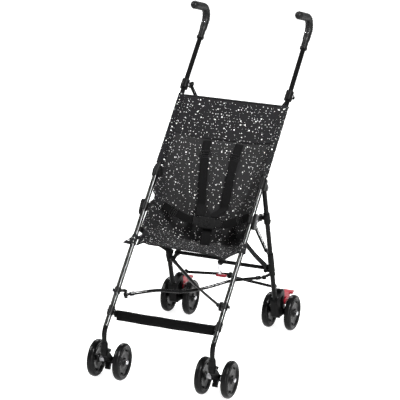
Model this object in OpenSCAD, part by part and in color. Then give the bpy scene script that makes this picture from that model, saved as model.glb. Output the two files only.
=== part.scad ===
// Folding umbrella stroller: two side frames of bent tube joined by a crossed
// back brace, a crossed lower brace and folding rear bars, with a hung fabric seat.
// Millimetres. X is across, -Y is the front, Z is up, floor at Z = 0.

/* [Overall] */
// Distance between the two side frames, centre to centre
track = 366; // [320:1:420]
// Distance between the front and rear axles
wheelbase = 585; // [540:1:630]
// Wheel diameter, the same at all four corners
wheel_d = 120; // [100:1:140]
// Width of one tyre
tyre_w = 24; // [18:1:30]

/* [Side frame] */
// Diameter of the main tube
tube_d = 16; // [14:0.5:20]
// Slope of the main tube above the floor, degrees
tube_angle = 43; // [38:0.5:50]
// Height of the lower bend's corner point
bend_height = 172; // [150:1:200]
// Radius of the lower bend
bend_r = 40; // [30:1:60]
// Length along the tube, corner point to the tube's top end
tube_len = 1150; // [1080:1:1200]
// Place of the leg pivot along the tube
leg_at = 585; // [540:1:630]
// Distance of the leg pivot behind the tube's centre line
leg_off = 24; // [22:0.5:32]
// Place of the upper brace bracket along the tube
upper_at = 916; // [880:1:960]
// Distance of the upper brace pivot behind the tube
upper_off = 34; // [32:0.5:42]
// Distance of that pivot up the tube from its bracket
upper_rise = 18; // [10:1:24]
// Place of the oval side bracket along the tube
side_at = 452; // [410:1:490]
// Width of the oval side bracket
oval_w = 24; // [20:0.5:28]
// Place of the lower brace bracket along the tube
brace_at = 145; // [120:1:180]
// Distance of the lower brace pivot behind the tube
brace_off = 24; // [21:0.5:30]
// Place of the footrest bracket along the tube
foot_at = 74; // [60:1:90]

/* [Handle] */
// Diameter of the grip
grip_d = 26; // [24:0.5:32]
// Length of the plain sleeve below the grip's bend
grip_sleeve = 56; // [44:1:70]
// Radius of the grip's bend
grip_bend_r = 34; // [30:1:50]
// Turn of the grip's bend, degrees
grip_turn = 119; // [90:1:130]
// Length of the straight part that the hand holds
grip_len = 88; // [70:1:110]
// Number of ribs on the grip
grip_ribs = 9; // [4:1:10]

/* [Front caster] */
// Distance from the swivel axis back to the axle
caster_trail = 37; // [30:1:50]
// Distance between the two wheels of a caster
front_pair = 88; // [80:1:100]
// Diameter of the swivel housing
housing_d = 24; // [22:0.5:30]
// Distance from the lower bend's corner point down to the swivel joint
stem_len = 62; // [54:1:70]
// Distance from the swivel axis back to the lock lever's pivot
lock_at = 22; // [20:0.5:28]
// Diameter of the swivel pin
swivel_pin_d = 9; // [7:0.5:11]
// Diameter of every axle
axle_d = 8; // [6:0.5:10]

/* [Rear leg] */
// Diameter of the rear leg
leg_d = 16; // [14:0.5:18]
// Distance of the leg's foot in front of the rear axle
leg_trail = 47; // [35:1:60]
// Height of the leg's foot
leg_foot_z = 62; // [50:1:80]
// Distance between the two wheels of a rear pair
rear_pair = 79; // [74:1:90]
// Place of the rear bar pivot along the leg
bar_at = 326; // [310:1:345]
// Distance from the rear bar pivot up to the back brace end
back_up = 59; // [50:1:70]
// Distance from the rear bar pivot down to the lower brace end
low_down = 9; // [6:1:20]
// Place of the storage hook's pivot along the leg
latch_at = 118; // [105:1:130]
// Length of the storage hook
hook_len = 80; // [60:1:90]
// Height of the lower link pivots
link_z = 148; // [138:1:160]
// Height of the brake pivot above the rear axle
brake_up = 36; // [32:1:42]
// Rise of the lower links at the middle
link_rise = 15; // [8:1:22]

/* [Braces] */
// Diameter of the back brace bars
back_d = 12; // [10:0.5:14]
// Diameter of the thick rear half of a lower brace
low_thick = 12; // [10:0.5:14]
// Diameter of the thin front half of a lower brace
low_thin = 9; // [7:0.5:10]
// Height of the lower braces' crossing
low_cross_z = 229; // [215:1:245]
// Diameter of the rear bar
bar_d = 13; // [10:0.5:14]
// Diameter of the lower links
link_d = 10; // [8:0.5:11]
// Diameter of the pivot pins
pin_d = 6; // [5:0.5:7]
// Inset of the bar and brace pivots from the side frame
inset = 21; // [19:0.5:26]

/* [Folding] */
// Travel of one side frame towards the other
fold_travel = 134; // [120:1:137]
// Turn of the rear legs when folded, degrees
fold_turn = 35; // [32:1:36]

/* [Seat] */
// Thickness of the seat cloth
cloth = 4; // [3:0.5:6]
// Place of the seat's front corners along the tube
seat_at = 304; // [285:1:330]
// How far the seat's right front corner is drawn up the tube
corner_rise = 20; // [0:1:30]
// Place of the seat's top corners along the tube
seat_top_at = 876; // [850:1:890]
// Depth of the seat's crease below the tubes, square to them
seat_depth = 170; // [140:1:185]
// Place of the seat's crease along the tube
crease_at = 434; // [410:1:460]
// Depth of the back's hollow halfway up
back_hollow = 42; // [20:1:60]
// Length of the sleeves that hold the seat's top to the tubes
sleeve_len = 262; // [200:1:280]
// Height of the footrest band
band_h = 34; // [25:1:45]
// Width of the harness webbing
web_w = 25; // [18:1:30]
// Width of the harness buckle
buckle_w = 56; // [48:1:64]
// Height of the harness buckle
buckle_h = 38; // [32:1:44]
// Thickness of the harness webbing
web_t = 3; // [2:0.5:4]

/* [Fits] */
// Radial clearance of a turning pin in its hole
run_fit = 0.05; // [0.02:0.01:0.1]
// Radial clearance of a clamp on its tube
clamp_fit = 0.1; // [0.05:0.05:0.3]
// Gap between parts that move past each other
gap = 0.8; // [0.5:0.1:1.5]
// Gap at the back brace ends, which shift a little as the frame folds
open_gap = 4; // [3:0.1:6]

/* [Part shown] */
// Name of the one piece to draw, or all

/* [Hidden] */
$fn = 48;

black = [0.05, 0.05, 0.055];
plastic = [0.09, 0.09, 0.095];
dark = [0.03, 0.03, 0.03];
grey = [0.32, 0.33, 0.34];
red = [0.72, 0.12, 0.2];
charcoal = [0.2, 0.2, 0.21];

hx = track / 2;
// A bend is this much thicker than its straight ends, which run into it by lap
swell = 0.3;
lap = 2;
wheel_r = wheel_d / 2;
swivel_z = bend_height - stem_len;
ct = cos(tube_angle);
st = sin(tube_angle);
// Place along the tube where the grip starts to bend
grip_bend_at = tube_len + 10;
// Rearmost and foremost reach, counted from the lower bend's corner point
reach_back = grip_bend_at * ct - grip_bend_r * st + grip_bend_r + (grip_d - 3 + swell) / 2;
reach_front = caster_trail - wheel_r;
// The whole piece is centred on Y = 0
bend_y = -(reach_back + reach_front) / 2;

// A point on the main tube: place along it, distance behind it
function tube2(s, o = 0) = [bend_y + s * ct + o * st, bend_height + s * st - o * ct];
function p3(x, p) = [x, p[0], p[1]];
function unit(v) = v / norm(v);

front_axle = [bend_y + caster_trail, wheel_r];
rear_axle = [front_axle[0] + wheelbase, wheel_r];
leg_top = tube2(leg_at, leg_off);
leg_foot = [rear_axle[0] - leg_trail, leg_foot_z];
leg_len = norm(leg_foot - leg_top);
leg_dir = (leg_foot - leg_top) / leg_len;
leg_back = [-leg_dir[1], leg_dir[0]];
// A point on the rear leg: place down it, distance behind it
function leg2(d, o = 0) = leg_top + leg_dir * d + leg_back * o;
// The same point after the rear leg has folded forward
function folded(p) = let (d = p - leg_top, c = cos(fold_turn), s = sin(fold_turn))
  leg_top + [c * d[0] + s * d[1], -s * d[0] + c * d[1]];

// Back brace: pivot on one main tube, far end on the other side's rear leg
bar_layer = (bar_d + 2) / 2 + gap / 2;
back_layer = back_d / 2 + 2;
upper2 = tube2(upper_at + upper_rise, upper_off);
back_end2 = leg2(bar_at - back_up, 26);
upper_x = hx - 3;
back_end_x = hx - 28;
back_from = p3(upper_x, upper2);
back_to = p3(-back_end_x, back_end2);
back_folded = p3(-back_end_x + fold_travel, folded(back_end2));
back_square = unit(cross([1, 0, 0], back_to - back_from));
back_axis = unit(cross(unit(back_to - back_from), unit(back_folded - back_from)));

// Lower brace: pivot on one main tube, far end in front of the other side's leg
low2 = tube2(brace_at, brace_off);
low_end2 = leg2(bar_at + low_down, -19);
low_x = hx - inset;
low_from = p3(low_x, low2);
low_to = p3(-low_x, low_end2);
low_folded = p3(-low_x + fold_travel, folded(low_end2));
low_axis = unit(cross(unit(low_to - low_from), unit(low_folded - low_from)));
low_mid = [0, (low2[0] + low_end2[0]) / 2];

// Rear bar and lower links
bar2p = leg2(bar_at, 18);
bar_x = hx - inset;
link2 = [rear_axle[0] - 5, link_z];
link_x = hx - inset;
link_layer = link_d / 2 + gap / 2;

pedal_x = -20;
pedal2p = bar2p + leg_back * (bar_layer + bar_d / 2 + 8);

seat_x = hx - tube_d / 2 - 3.5;
// Cloth loops hold the seat's front corners to the tubes up to here
loop_end = seat_at + 20;
edge_gap = 5;

module along(v) rotate([0, acos(v[2] / norm(v)), atan2(v[1], v[0])]) children();
module seg(a, b, d) translate(a) along(b - a) cylinder(h = norm(b - a), d = d);
// Runs through the point c, square distance h each way along v
module pin(c, v, d, h0, h1) seg(c + unit(v) * h0, c + unit(v) * h1, d);
// A flat shape drawn in Y and Z, given thickness from x0
module plate_x(x0, t) translate([x0, 0, 0]) rotate([90, 0, 90]) linear_extrude(t) children();
// A bar with round ends, which are a little wider than its straight sides
module bar2(p, q, w) {
  translate(p) circle(d = w);
  translate(q) circle(d = w);
  translate(p) rotate(atan2(q[1] - p[1], q[0] - p[0])) translate([0, -w * 0.49]) square([norm(q - p), w * 0.98]);
}
module left() mirror([1, 0, 0]) children();
// A collar round the main tube from place s0 to s1
module tube_collar(s0, s1, d) seg(p3(hx, tube2(s0)), p3(hx, tube2(s1)), d);
module tube_hole(s0, s1) seg(p3(hx, tube2(s0)), p3(hx, tube2(s1)), tube_d + 2 * clamp_fit);
module leg_collar(d0, d1, d) seg(p3(hx, leg2(d0)), p3(hx, leg2(d1)), d);
module leg_hole(d0, d1) seg(p3(hx, leg2(d0)), p3(hx, leg2(d1)), leg_d + 2 * clamp_fit);
// A screw head on a face, pointing along v
module screw(c, v) pin(c, v, 7, 0, 2.5);

// Side frame
module main_tube() {
  turn = 90 - tube_angle;
  lead = bend_r * tan(turn / 2);
  seg([hx, bend_y, swivel_z + 14], [hx, bend_y, bend_height - lead + lap], tube_d);
  translate([hx, bend_y + bend_r, bend_height - lead]) rotate([90, 0, 90])
    rotate(180 - turn) rotate_extrude(angle = turn) translate([bend_r, 0]) circle(d = tube_d + swell);
  seg(p3(hx, tube2(lead - lap)), p3(hx, tube2(tube_len)), tube_d);
}
module main_tube_left() color(black) left() main_tube();
module main_tube_right() color(black) main_tube();

module handle_grip() {
  c2 = tube2(grip_bend_at, -grip_bend_r);
  a1 = tube_angle - 90 + grip_turn;
  e2 = c2 + grip_bend_r * [cos(a1), sin(a1)];
  h2 = [cos(a1 + 90), sin(a1 + 90)];
  difference() {
    union() {
      tube_collar(grip_bend_at - grip_sleeve - 4, grip_bend_at - grip_sleeve / 3, grip_d - 4.5);
      tube_collar(grip_bend_at - grip_sleeve / 2, grip_bend_at + lap / 2, grip_d - 3);
      tube_collar(grip_bend_at - grip_sleeve - 8, grip_bend_at - grip_sleeve, grip_d - 1);
    }
    tube_hole(grip_bend_at - grip_sleeve - 9, tube_len + 0.5);
  }
  translate(p3(hx, c2)) rotate([90, 0, 90]) rotate(tube_angle - 90)
    rotate_extrude(angle = grip_turn) translate([grip_bend_r, 0]) circle(d = grip_d - 3 + swell);
  seg(p3(hx, e2 - h2 * lap / 2), p3(hx, e2 + h2 * grip_len), grip_d - 3);
  translate(p3(hx, e2 + h2 * (grip_len - 2))) sphere(d = grip_d - 1);
  for (i = [0 : grip_ribs - 1]) {
    k = 8 + i * (grip_len - 14) / grip_ribs;
    seg(p3(hx, e2 + h2 * k), p3(hx, e2 + h2 * (k + 5)), grip_d);
  }
  for (x = [-4, 4]) screw(p3(hx + x, tube2(grip_bend_at - 5, 3.5 - grip_d / 2)), [0, -st, ct]);
}
module handle_grip_left() color(plastic) left() handle_grip();
module handle_grip_right() color(plastic) handle_grip();

module upper_bracket(layer) {
  c = back_from + back_square * layer;
  v = back_axis * (p3(hx, tube2(upper_at)) - c) > 0 ? back_axis : -back_axis;
  reach = back_d / 2 + 2.5;
  difference() {
    union() {
      tube_collar(upper_at - 16, upper_at + 16, tube_d + 10);
      seg(c + v * (reach + gap), c + v * (reach + 7), 13);
      seg(c + v * (reach + 5.8), p3(hx, tube2(upper_at + 4, 6)), 8);
    }
    tube_hole(upper_at - 17, upper_at + 17);
  }
  pin(c, v, pin_d, -reach - 3, reach + 3);
  pin(c, v, pin_d + 5, -reach - 4, -reach - gap);
  screw(p3(hx + (tube_d + 10) / 2 - 1, tube2(upper_at)), [1, 0, 0]);
}
module upper_bracket_left() color(plastic) left() upper_bracket(back_layer);
module upper_bracket_right() color(plastic) upper_bracket(-back_layer);

module leg_pivot() {
  cheek = leg_d / 2 + gap;
  difference() {
    union() {
      tube_collar(leg_at - 20, leg_at + 20, tube_d + 5);
      for (x = [hx + cheek, hx - cheek - 3.5]) plate_x(x, 3.5) {
        bar2(leg_top, tube2(leg_at, 4), 20);
        bar2(tube2(leg_at - 12, 4), tube2(leg_at + 12, 4), 14);
      }
    }
    tube_hole(leg_at - 23, leg_at + 23);
  }
  seg(p3(hx - cheek - 5, leg_top), p3(hx + cheek + 5, leg_top), pin_d);
  screw(p3(hx + cheek + 3.4, leg_top), [1, 0, 0]);
}
module leg_pivot_left() color(plastic) left() leg_pivot();
module leg_pivot_right() color(plastic) leg_pivot();

module side_bracket() {
  difference() {
    union() {
      tube_collar(side_at - 13, side_at + 13, tube_d + 6);
      plate_x(hx + tube_d / 2 + 0.5, 7) bar2(tube2(side_at - 15, 8), tube2(side_at + 14, 3), oval_w);
    }
    tube_hole(side_at - 14, side_at + 14);
  }
  screw(p3(hx + tube_d / 2 + 7.4, tube2(side_at + 4, 5)), [1, 0, 0]);
}
module side_bracket_left() color(grey) left() side_bracket();
module side_bracket_right() color(grey) side_bracket();

module brace_bracket(drop) {
  c = low_from + [0, 0, drop];
  v = low_axis * (p3(hx, tube2(brace_at)) - c) > 0 ? low_axis : -low_axis;
  reach = low_thin / 2 + 3;
  difference() {
    union() {
      tube_collar(brace_at - 9, brace_at + 9, tube_d + 5);
      seg(c + v * (reach + gap), c + v * (reach + 8), 13);
      seg(c + v * (reach + 7), p3(hx, tube2(brace_at, 5)), 9);
    }
    tube_hole(brace_at - 16, brace_at + 16);
  }
  pin(c, v, pin_d, -reach - 3, reach + 3);
  pin(c, v, pin_d + 5, -reach - 4, -reach - gap);
  seg(p3(hx + tube_d / 2 + 1, tube2(brace_at)), p3(hx + tube_d / 2 + 8, tube2(brace_at)), pin_d);
  seg(p3(hx + tube_d / 2 + 5, tube2(brace_at)), p3(hx + tube_d / 2 + 7.2, tube2(brace_at)), pin_d + 4);
}
module brace_bracket_left() color(plastic) left() brace_bracket(0);
module brace_bracket_right() color(plastic) brace_bracket(low_thick / 2 + 1);

module foot_bracket() {
  difference() {
    union() {
      tube_collar(foot_at - 14, foot_at + 14, tube_d + 5);
      plate_x(hx - tube_d / 2 - 4, 5) bar2(tube2(foot_at, 2), tube2(foot_at - 2, 26), 16);
    }
    tube_hole(foot_at - 15, foot_at + 15);
  }
  screw(p3(hx + (tube_d + 5) / 2 - 1, tube2(foot_at)), [1, 0, 0]);
}
module foot_bracket_left() color(plastic) left() foot_bracket();
module foot_bracket_right() color(plastic) foot_bracket();

// Front casters
module caster_housing() {
  difference() {
    union() {
      translate([hx, bend_y, swivel_z]) cylinder(h = 22, d1 = housing_d, d2 = housing_d - 1);
      translate([hx, bend_y, swivel_z + 22]) cylinder(h = 5, d1 = housing_d - 1, d2 = tube_d + 4);
    }
    translate([hx, bend_y, swivel_z + 13.5]) cylinder(h = 40, d = tube_d + 2 * clamp_fit);
    translate([hx, bend_y, swivel_z - 1]) cylinder(h = 13, d = swivel_pin_d + 2 * run_fit);
  }
}
module caster_housing_left() color(plastic) left() caster_housing();
module caster_housing_right() color(plastic) caster_housing();

lock2 = [bend_y + lock_at, swivel_z - 12];
module swivel_lock() {
  difference() {
    plate_x(hx - 5, 10) {
      translate(lock2) circle(d = 9);
      bar2(lock2, lock2 + [14, -4], 7);
      translate(lock2 + [15, -5]) circle(d = 10.6);
    }
    seg(p3(hx - 20, lock2), p3(hx + 20, lock2), 4 + 2 * run_fit);
  }
}
module swivel_lock_left() color(plastic) left() swivel_lock();
module swivel_lock_right() color(plastic) swivel_lock();

module caster_fork() {
  face = front_pair / 2 - tyre_w / 2 - gap;
  low = [bend_y + caster_trail / 2, (swivel_z - 8 + wheel_r) / 2 + 1];
  difference() {
    union() {
      translate([hx, bend_y, swivel_z - 6 - gap]) cylinder(h = 6, d = housing_d + 2);
      translate([hx, bend_y, swivel_z - 18]) cylinder(h = 18 - gap - 5.5, d1 = housing_d - 3, d2 = housing_d + 2);
      plate_x(hx - 10, 20) {
        bar2([bend_y + 3, swivel_z - 15], low + [-1, 1], 17.5);
        bar2(low, front_axle, 19);
      }
      plate_x(hx - 8.3, 16.6) bar2(front_axle + [-1, 0.5], front_axle + [-13, -21], 13);
      plate_x(hx - 9, 18) bar2([bend_y + 9, swivel_z - 17], lock2, 8.4);
      seg(p3(hx - 14, front_axle), p3(hx + 14, front_axle), 22);
      seg(p3(hx - face, front_axle), p3(hx + face, front_axle), axle_d + 4);
    }
    // slot for the lock lever
    plate_x(hx - 5 - gap, 10 + 2 * gap) translate(lock2) circle(r = 4.5 + gap);
    plate_x(hx - 5 - gap, 10 + 2 * gap) translate(lock2) square([30, 20], center = true);
  }
  seg(p3(hx - 8, lock2), p3(hx + 8, lock2), 4);
  translate([hx, bend_y, swivel_z - 2]) cylinder(h = 12.5, d = swivel_pin_d);
  half = front_pair / 2 + tyre_w / 2;
  seg(p3(hx - half - 3, front_axle), p3(hx + half + 3, front_axle), axle_d);
  for (m = [-1, 1]) seg(p3(hx + m * (half + gap), front_axle), p3(hx + m * (half + 5), front_axle), 14);
}
module caster_fork_left() color(plastic) left() caster_fork();
module caster_fork_right() color(plastic) caster_fork();

// One wheel about the X axis at the origin
module wheel() {
  rim = wheel_r - 13;
  h = tyre_w / 2;
  rotate([0, 90, 0]) difference() {
    rotate_extrude($fn = 64) {
      polygon([[axle_d / 2 + run_fit, -h], [13, -h], [14, -h + 5], [rim - 4, -h + 5], [rim, -h + 2],
        [rim, h - 2], [rim - 4, h - 5], [14, h - 5], [13, h], [axle_d / 2 + run_fit, h]]);
      translate([rim - 0.5, -h + 2]) square([6, tyre_w - 4]);
      translate([wheel_r - 10, -h + 10]) square([10, tyre_w - 20]);
      for (m = [-1, 1]) translate([wheel_r - 10, m * (h - 10)]) intersection() {
        circle(r = 10);
        translate([-6, -10]) square([20, 20]);
      }
    }
    for (i = [0 : 5]) rotate(i * 60) translate([rim - 9, 0, -h]) cylinder(h = tyre_w, d = 7);
  }
}
module front_wheel(x) color(dark) translate([x, front_axle[0], front_axle[1]]) wheel();
module rear_wheel(x) color(dark) translate([x, rear_axle[0], rear_axle[1]]) wheel();
module front_wheel_left_out() front_wheel(-hx - front_pair / 2);
module front_wheel_left_in() front_wheel(-hx + front_pair / 2);
module front_wheel_right_in() front_wheel(hx - front_pair / 2);
module front_wheel_right_out() front_wheel(hx + front_pair / 2);
module rear_wheel_left_out() rear_wheel(-hx - rear_pair / 2);
module rear_wheel_left_in() rear_wheel(-hx + rear_pair / 2);
module rear_wheel_right_in() rear_wheel(hx - rear_pair / 2);
module rear_wheel_right_out() rear_wheel(hx + rear_pair / 2);

// Rear legs
module rear_leg() {
  difference() {
    union() {
      leg_collar(0, leg_len, leg_d);
      seg(p3(hx - leg_d / 2, leg_top), p3(hx + leg_d / 2, leg_top), 20);
    }
    seg(p3(hx - 20, leg_top), p3(hx + 20, leg_top), pin_d + 2 * run_fit);
  }
}
module rear_leg_left() color(black) left() rear_leg();
module rear_leg_right() color(black) rear_leg();

// Clamp on the leg that carries the rear bar's pin and meets both braces
module cross_joint(bar_m, back_m, low_m) {
  lug = bar_d / 2 + 1;
  ball = p3(back_end_x, back_end2) + [-back_square[0], back_square[1], back_square[2]] * back_m;
  low_ball = p3(low_x, low_end2) + [0, 0, low_m];
  n = p3(0, leg_back);
  // the bar's eye lies between the lug's face and the pin's head
  eye = 18 + bar_m - lug;
  difference() {
    union() {
      leg_collar(bar_at - back_up - 9, bar_at + low_down + 9, leg_d + 4.5);
      seg(p3(hx, leg2(bar_at, -4)), p3(bar_x, leg2(bar_at, -4)), 9);
      seg(p3(bar_x, leg2(bar_at, -8)), p3(bar_x, leg2(bar_at, eye - gap)), 13);
      seg(p3(hx, leg2(bar_at - back_up)), ball + unit(p3(hx, leg2(bar_at - back_up)) - ball) * (back_d / 2 + 1 + open_gap), 10);
      seg(p3(hx, leg2(bar_at + low_down)), low_ball + unit(p3(hx, leg2(bar_at + low_down)) - low_ball) * (low_thick / 2 + 1 + gap), 10);
    }
    leg_hole(bar_at - back_up - 10, bar_at + low_down + 10);
  }
  seg(p3(bar_x, leg2(bar_at, eye - 4)), p3(bar_x, leg2(bar_at, eye + 2 * lug + 3)), pin_d);
  seg(p3(bar_x, leg2(bar_at, eye + 2 * lug + gap)), p3(bar_x, leg2(bar_at, eye + 2 * lug + 4)), pin_d + 5);
  screw(p3(hx + (leg_d + 4.5) / 2 - 1, leg2(bar_at)), [1, 0, 0]);
}
module cross_joint_left() color(plastic) left() cross_joint(bar_layer, -back_layer, low_thick / 2 + 1);
module cross_joint_right() color(plastic) cross_joint(-bar_layer, back_layer, -low_thick / 2 - 1);

// Brake pivot, and the inner face of the pedal's cheeks
pedal2 = [rear_axle[0] + 1, wheel_r + brake_up];
cheek_x = 11 + gap;
module rear_bracket(link_m) {
  w = rear_pair / 2 - tyre_w / 2 - 7;
  f2 = leg2(leg_len - 6);
  k2 = leg2(leg_len - 60);
  n = p3(0, leg_back);
  lk = p3(link_x, link2) + n * link_m;
  arm2 = link2 + leg_back * (link_m - link_d / 2 - 9);
  difference() {
    union() {
      plate_x(hx - 13, 26) bar2(k2, f2, 25);
      plate_x(hx - 11, 22) {
        bar2(f2, rear_axle, 22);
        bar2(k2, [link2[0] - 4, link2[1] - 14], 16);
        bar2([link2[0] - 4, link2[1] - 14], rear_axle, 18);
      }
      seg(p3(hx - w, rear_axle), p3(hx + w, rear_axle), 20);
      seg(p3(hx, [link2[0] - 4, link2[1] - 14]), p3(hx, arm2), 12);
      seg(p3(hx + 2, arm2), lk - n * (link_d / 2 + 9), 11);
      seg(lk - n * (link_d / 2 + 11), lk - n * (link_d / 2 + 1 + gap), 12);
    }
    leg_hole(leg_len - 85, leg_len + 0.5);
  }
  seg(p3(hx - cheek_x - 4.5, pedal2), p3(hx + cheek_x + 4.5, pedal2), 5);
  pin(lk, n, pin_d, -link_d / 2 - 4, link_d / 2 + 4);
  pin(lk, n, pin_d + 4, link_d / 2 + 1 + gap, link_d / 2 + 4.5);
  half = rear_pair / 2 + tyre_w / 2;
  seg(p3(hx - half - 3, rear_axle), p3(hx + half + 3, rear_axle), axle_d);
  for (m = [-1, 1]) seg(p3(hx + m * (half + gap), rear_axle), p3(hx + m * (half + 5), rear_axle), 14);
}
module rear_bracket_left() color(plastic) left() rear_bracket(link_layer);
module rear_bracket_right() color(plastic) rear_bracket(-link_layer);

module brake_pedal() {
  difference() {
    union() {
      for (x = [hx + cheek_x, hx - cheek_x - 4]) plate_x(x, 4) {
        translate(pedal2) circle(d = 19);
        bar2(pedal2, pedal2 + [30, 2], 14);
      }
      plate_x(hx - cheek_x - 4, 2 * cheek_x + 8) bar2(pedal2 + [27, 2], pedal2 + [35, 3], 13);
      plate_x(hx - 9, 18) bar2(pedal2 + [36, 3.5], pedal2 + [66, 7], 10);
      plate_x(hx - 17, 34) bar2(pedal2 + [62, 7.5], pedal2 + [73, 9], 9);
    }
    seg(p3(hx - 20, pedal2), p3(hx + 20, pedal2), 5 + 2 * run_fit);
  }
}
module brake_pedal_left() color(red) left() brake_pedal();
module brake_pedal_right() color(red) brake_pedal();

// Braces
module back_brace(layer) {
  a = back_from + back_square * layer;
  b = back_to + back_square * layer;
  difference() {
    union() {
      seg(a, b, back_d);
      pin(a, back_axis, back_d + 4, -back_d / 2 - 2, back_d / 2 + 2);
      translate(b) sphere(d = back_d + 2);
    }
    pin(a, back_axis, pin_d + 2 * run_fit, -30, 30);
  }
}
module back_brace_left() color(black) left() back_brace(back_layer);
module back_brace_right() color(black) back_brace(-back_layer);

// Sliding strut: a thin rod that runs into a thick sleeve at the crossing
module lower_brace(front_drop, drop, cross_drop) {
  a = low_from + [0, 0, front_drop];
  b = low_to + [0, 0, drop];
  m = [low_mid[0], low_mid[1], low_cross_z + cross_drop];
  difference() {
    union() {
      seg(a, m, low_thin);
      seg(b, m, low_thick);
      translate(m) sphere(d = low_thick + 1);
      translate(b) sphere(d = low_thick + 2);
      pin(a, low_axis, low_thin + 5, -low_thin / 2 - 2.5, low_thin / 2 + 2.5);
    }
    pin(a, low_axis, pin_d + 2 * run_fit, -30, 30);
  }
}
module lower_brace_left() color(black) left() lower_brace(0, -low_thick / 2 - 1, -low_thick / 2 - 1.5);
module lower_brace_right() color(black) lower_brace(low_thick / 2 + 1, low_thick / 2 + 1, low_thick / 2 + 1.5);

module rear_bar(layer) {
  n = p3(0, leg_back);
  a = p3(bar_x, bar2p) + n * layer;
  b = p3(0, bar2p) + n * layer;
  difference() {
    union() {
      seg(a, b, bar_d);
      for (e = [a, b]) pin(e, n, bar_d + 7, -bar_d / 2 - 1, bar_d / 2 + 1);
    }
    pin(a, n, pin_d + 2 * run_fit, -30, 30);
  }
  pin(b, n * sign(layer), 9, bar_d / 2, bar_d / 2 + 3.5);
  // the left bar carries the foot pedal between two ears
  if (layer > 0) {
    for (x = [-pedal_x - 4 - gap - 4, -pedal_x + 4 + gap]) plate_x(x, 4) bar2(bar2p + leg_back * layer, pedal2p, 12);
    seg(p3(-pedal_x - 8, pedal2p), p3(-pedal_x + 8, pedal2p), 5);
  }
}
module rear_bar_left() color(black) left() rear_bar(bar_layer);
module rear_bar_right() color(black) rear_bar(-bar_layer);

// Foot pedal on the left rear bar that lifts the locked middle
module fold_pedal() color(grey) {
  difference() {
    union() {
      plate_x(pedal_x - 4, 8) {
        bar2(pedal2p, pedal2p + [3.1, -44], 11);
        bar2(pedal2p + [3.4, -42.3], pedal2p + [13.3, -68.2], 8.6);
      }
    }
    seg(p3(pedal_x - 20, pedal2p), p3(pedal_x + 20, pedal2p), 5 + 2 * run_fit);
  }
}
module pedal_pad() color(red) plate_x(pedal_x - 15, 30) bar2(pedal2p + [14.8, -77.6], pedal2p + [31, -82], 9.3);

module lock_link(layer) {
  n = p3(0, leg_back);
  a = p3(link_x, link2) + n * layer;
  b = [0, link2[0], link2[1] + link_rise] + n * layer;
  difference() {
    union() {
      seg(a, b, link_d);
      pin(a, n, link_d + 5, -link_d / 2 - 1, link_d / 2 + 1);
      pin(b, n, link_d + 4, 0.6 - link_d / 2, link_d / 2 - 0.6);
    }
    pin(a, n, pin_d + 2 * run_fit, -30, 30);
  }
  pin(b, n * sign(layer), 8, link_d / 2 - 0.5, link_d / 2 + 3);
}
module lock_link_left() color(black) left() lock_link(link_layer);
module lock_link_right() color(black) lock_link(-link_layer);

// Hook on the inside of the right rear leg that holds the folded frame shut
latch2 = leg2(latch_at, 0);
latch_x = hx - leg_d / 2 - 9.5;
module latch_clamp() color(plastic) {
  difference() {
    union() {
      leg_collar(latch_at - 18, latch_at + 18, leg_d + 6);
      seg(p3(hx, latch2), p3(latch_x + gap, latch2), 14);
    }
    leg_hole(latch_at - 19, latch_at + 19);
  }
  seg(p3(latch_x + 3, latch2), p3(latch_x - 9, latch2), 7);
  seg(p3(latch_x - 8 - gap, latch2), p3(latch_x - 11, latch2), 13);
  screw(p3(hx + leg_d / 2 + 2, leg2(latch_at + 8)), [1, 0, 0]);
}
module storage_latch() color(plastic) difference() {
  union() {
    plate_x(latch_x - 8, 8) {
      translate(latch2) circle(d = 24);
      bar2(latch2 + [-4, 1], latch2 + [-hook_len * 0.75, 6.4], 18.4);
    }
    plate_x(latch_x - 8.7, 9.4) bar2(latch2 + [-hook_len * 0.76, 7.3], latch2 + [-hook_len, -7.9], 13.2);
  }
  seg(p3(hx, latch2), p3(hx - 40, latch2), 7 + 2 * run_fit);
}

// Footrest band between the two foot brackets
module footrest_band() color(dark) {
  c2 = tube2(foot_at - 2, 26);
  w = hx - tube_d / 2 - 4 - gap;
  plate_x(-w, 2 * w) {
    translate(c2 - [2.5, band_h / 2]) square([5, band_h]);
    translate(c2 + [0, band_h / 2 - 5]) circle(d = 10);
    translate(c2 - [0, band_h / 2 - 5]) circle(d = 10);
  }
}

// Seat: one hung sheet from the front hem down to the crease and up to the top hem
base_rows = 9;
back_rows = 16;
cols = 22;
seam = 0.0004;
function mix(a, b, t) = a + (b - a) * t;
function ease(t) = t * t * (3 - 2 * t);
// Place along the tube and depth behind it for row t, 0 at the front hem
turn_t = 0.34;
function row_s(t) = t < turn_t ? mix(seat_at, crease_at, t / turn_t)
  : mix(crease_at, seat_top_at, (t - turn_t) / (1 - turn_t));
function row_o(t) = t < turn_t ? mix(2, seat_depth, pow(t / turn_t, 0.92))
  : let (k = (t - turn_t) / (1 - turn_t)) mix(seat_depth, 2, k) + (back_hollow - seat_depth * 0.5) * sin(180 * k) * 0.75;
// Edge rows follow the tubes, middle rows hang
function hang(u) = 1 - pow(abs(u), 5);
function fold_of(t, u) = 4 * sin(900 * t + 260 * abs(u)) * (1 - pow(abs(u), 6)) * sin(180 * t) * abs(u);
// The cloth's edge runs close to the tube where a sleeve or loop holds it
function near(s, a, b) = ease(min(1, max(0, (s - a) / (b - a))));
function edge_x(s) = seat_x - edge_gap * (1 - near(s, seat_top_at - sleeve_len - 12, seat_top_at - sleeve_len + 2)) * near(s, loop_end, loop_end + 14);
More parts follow.
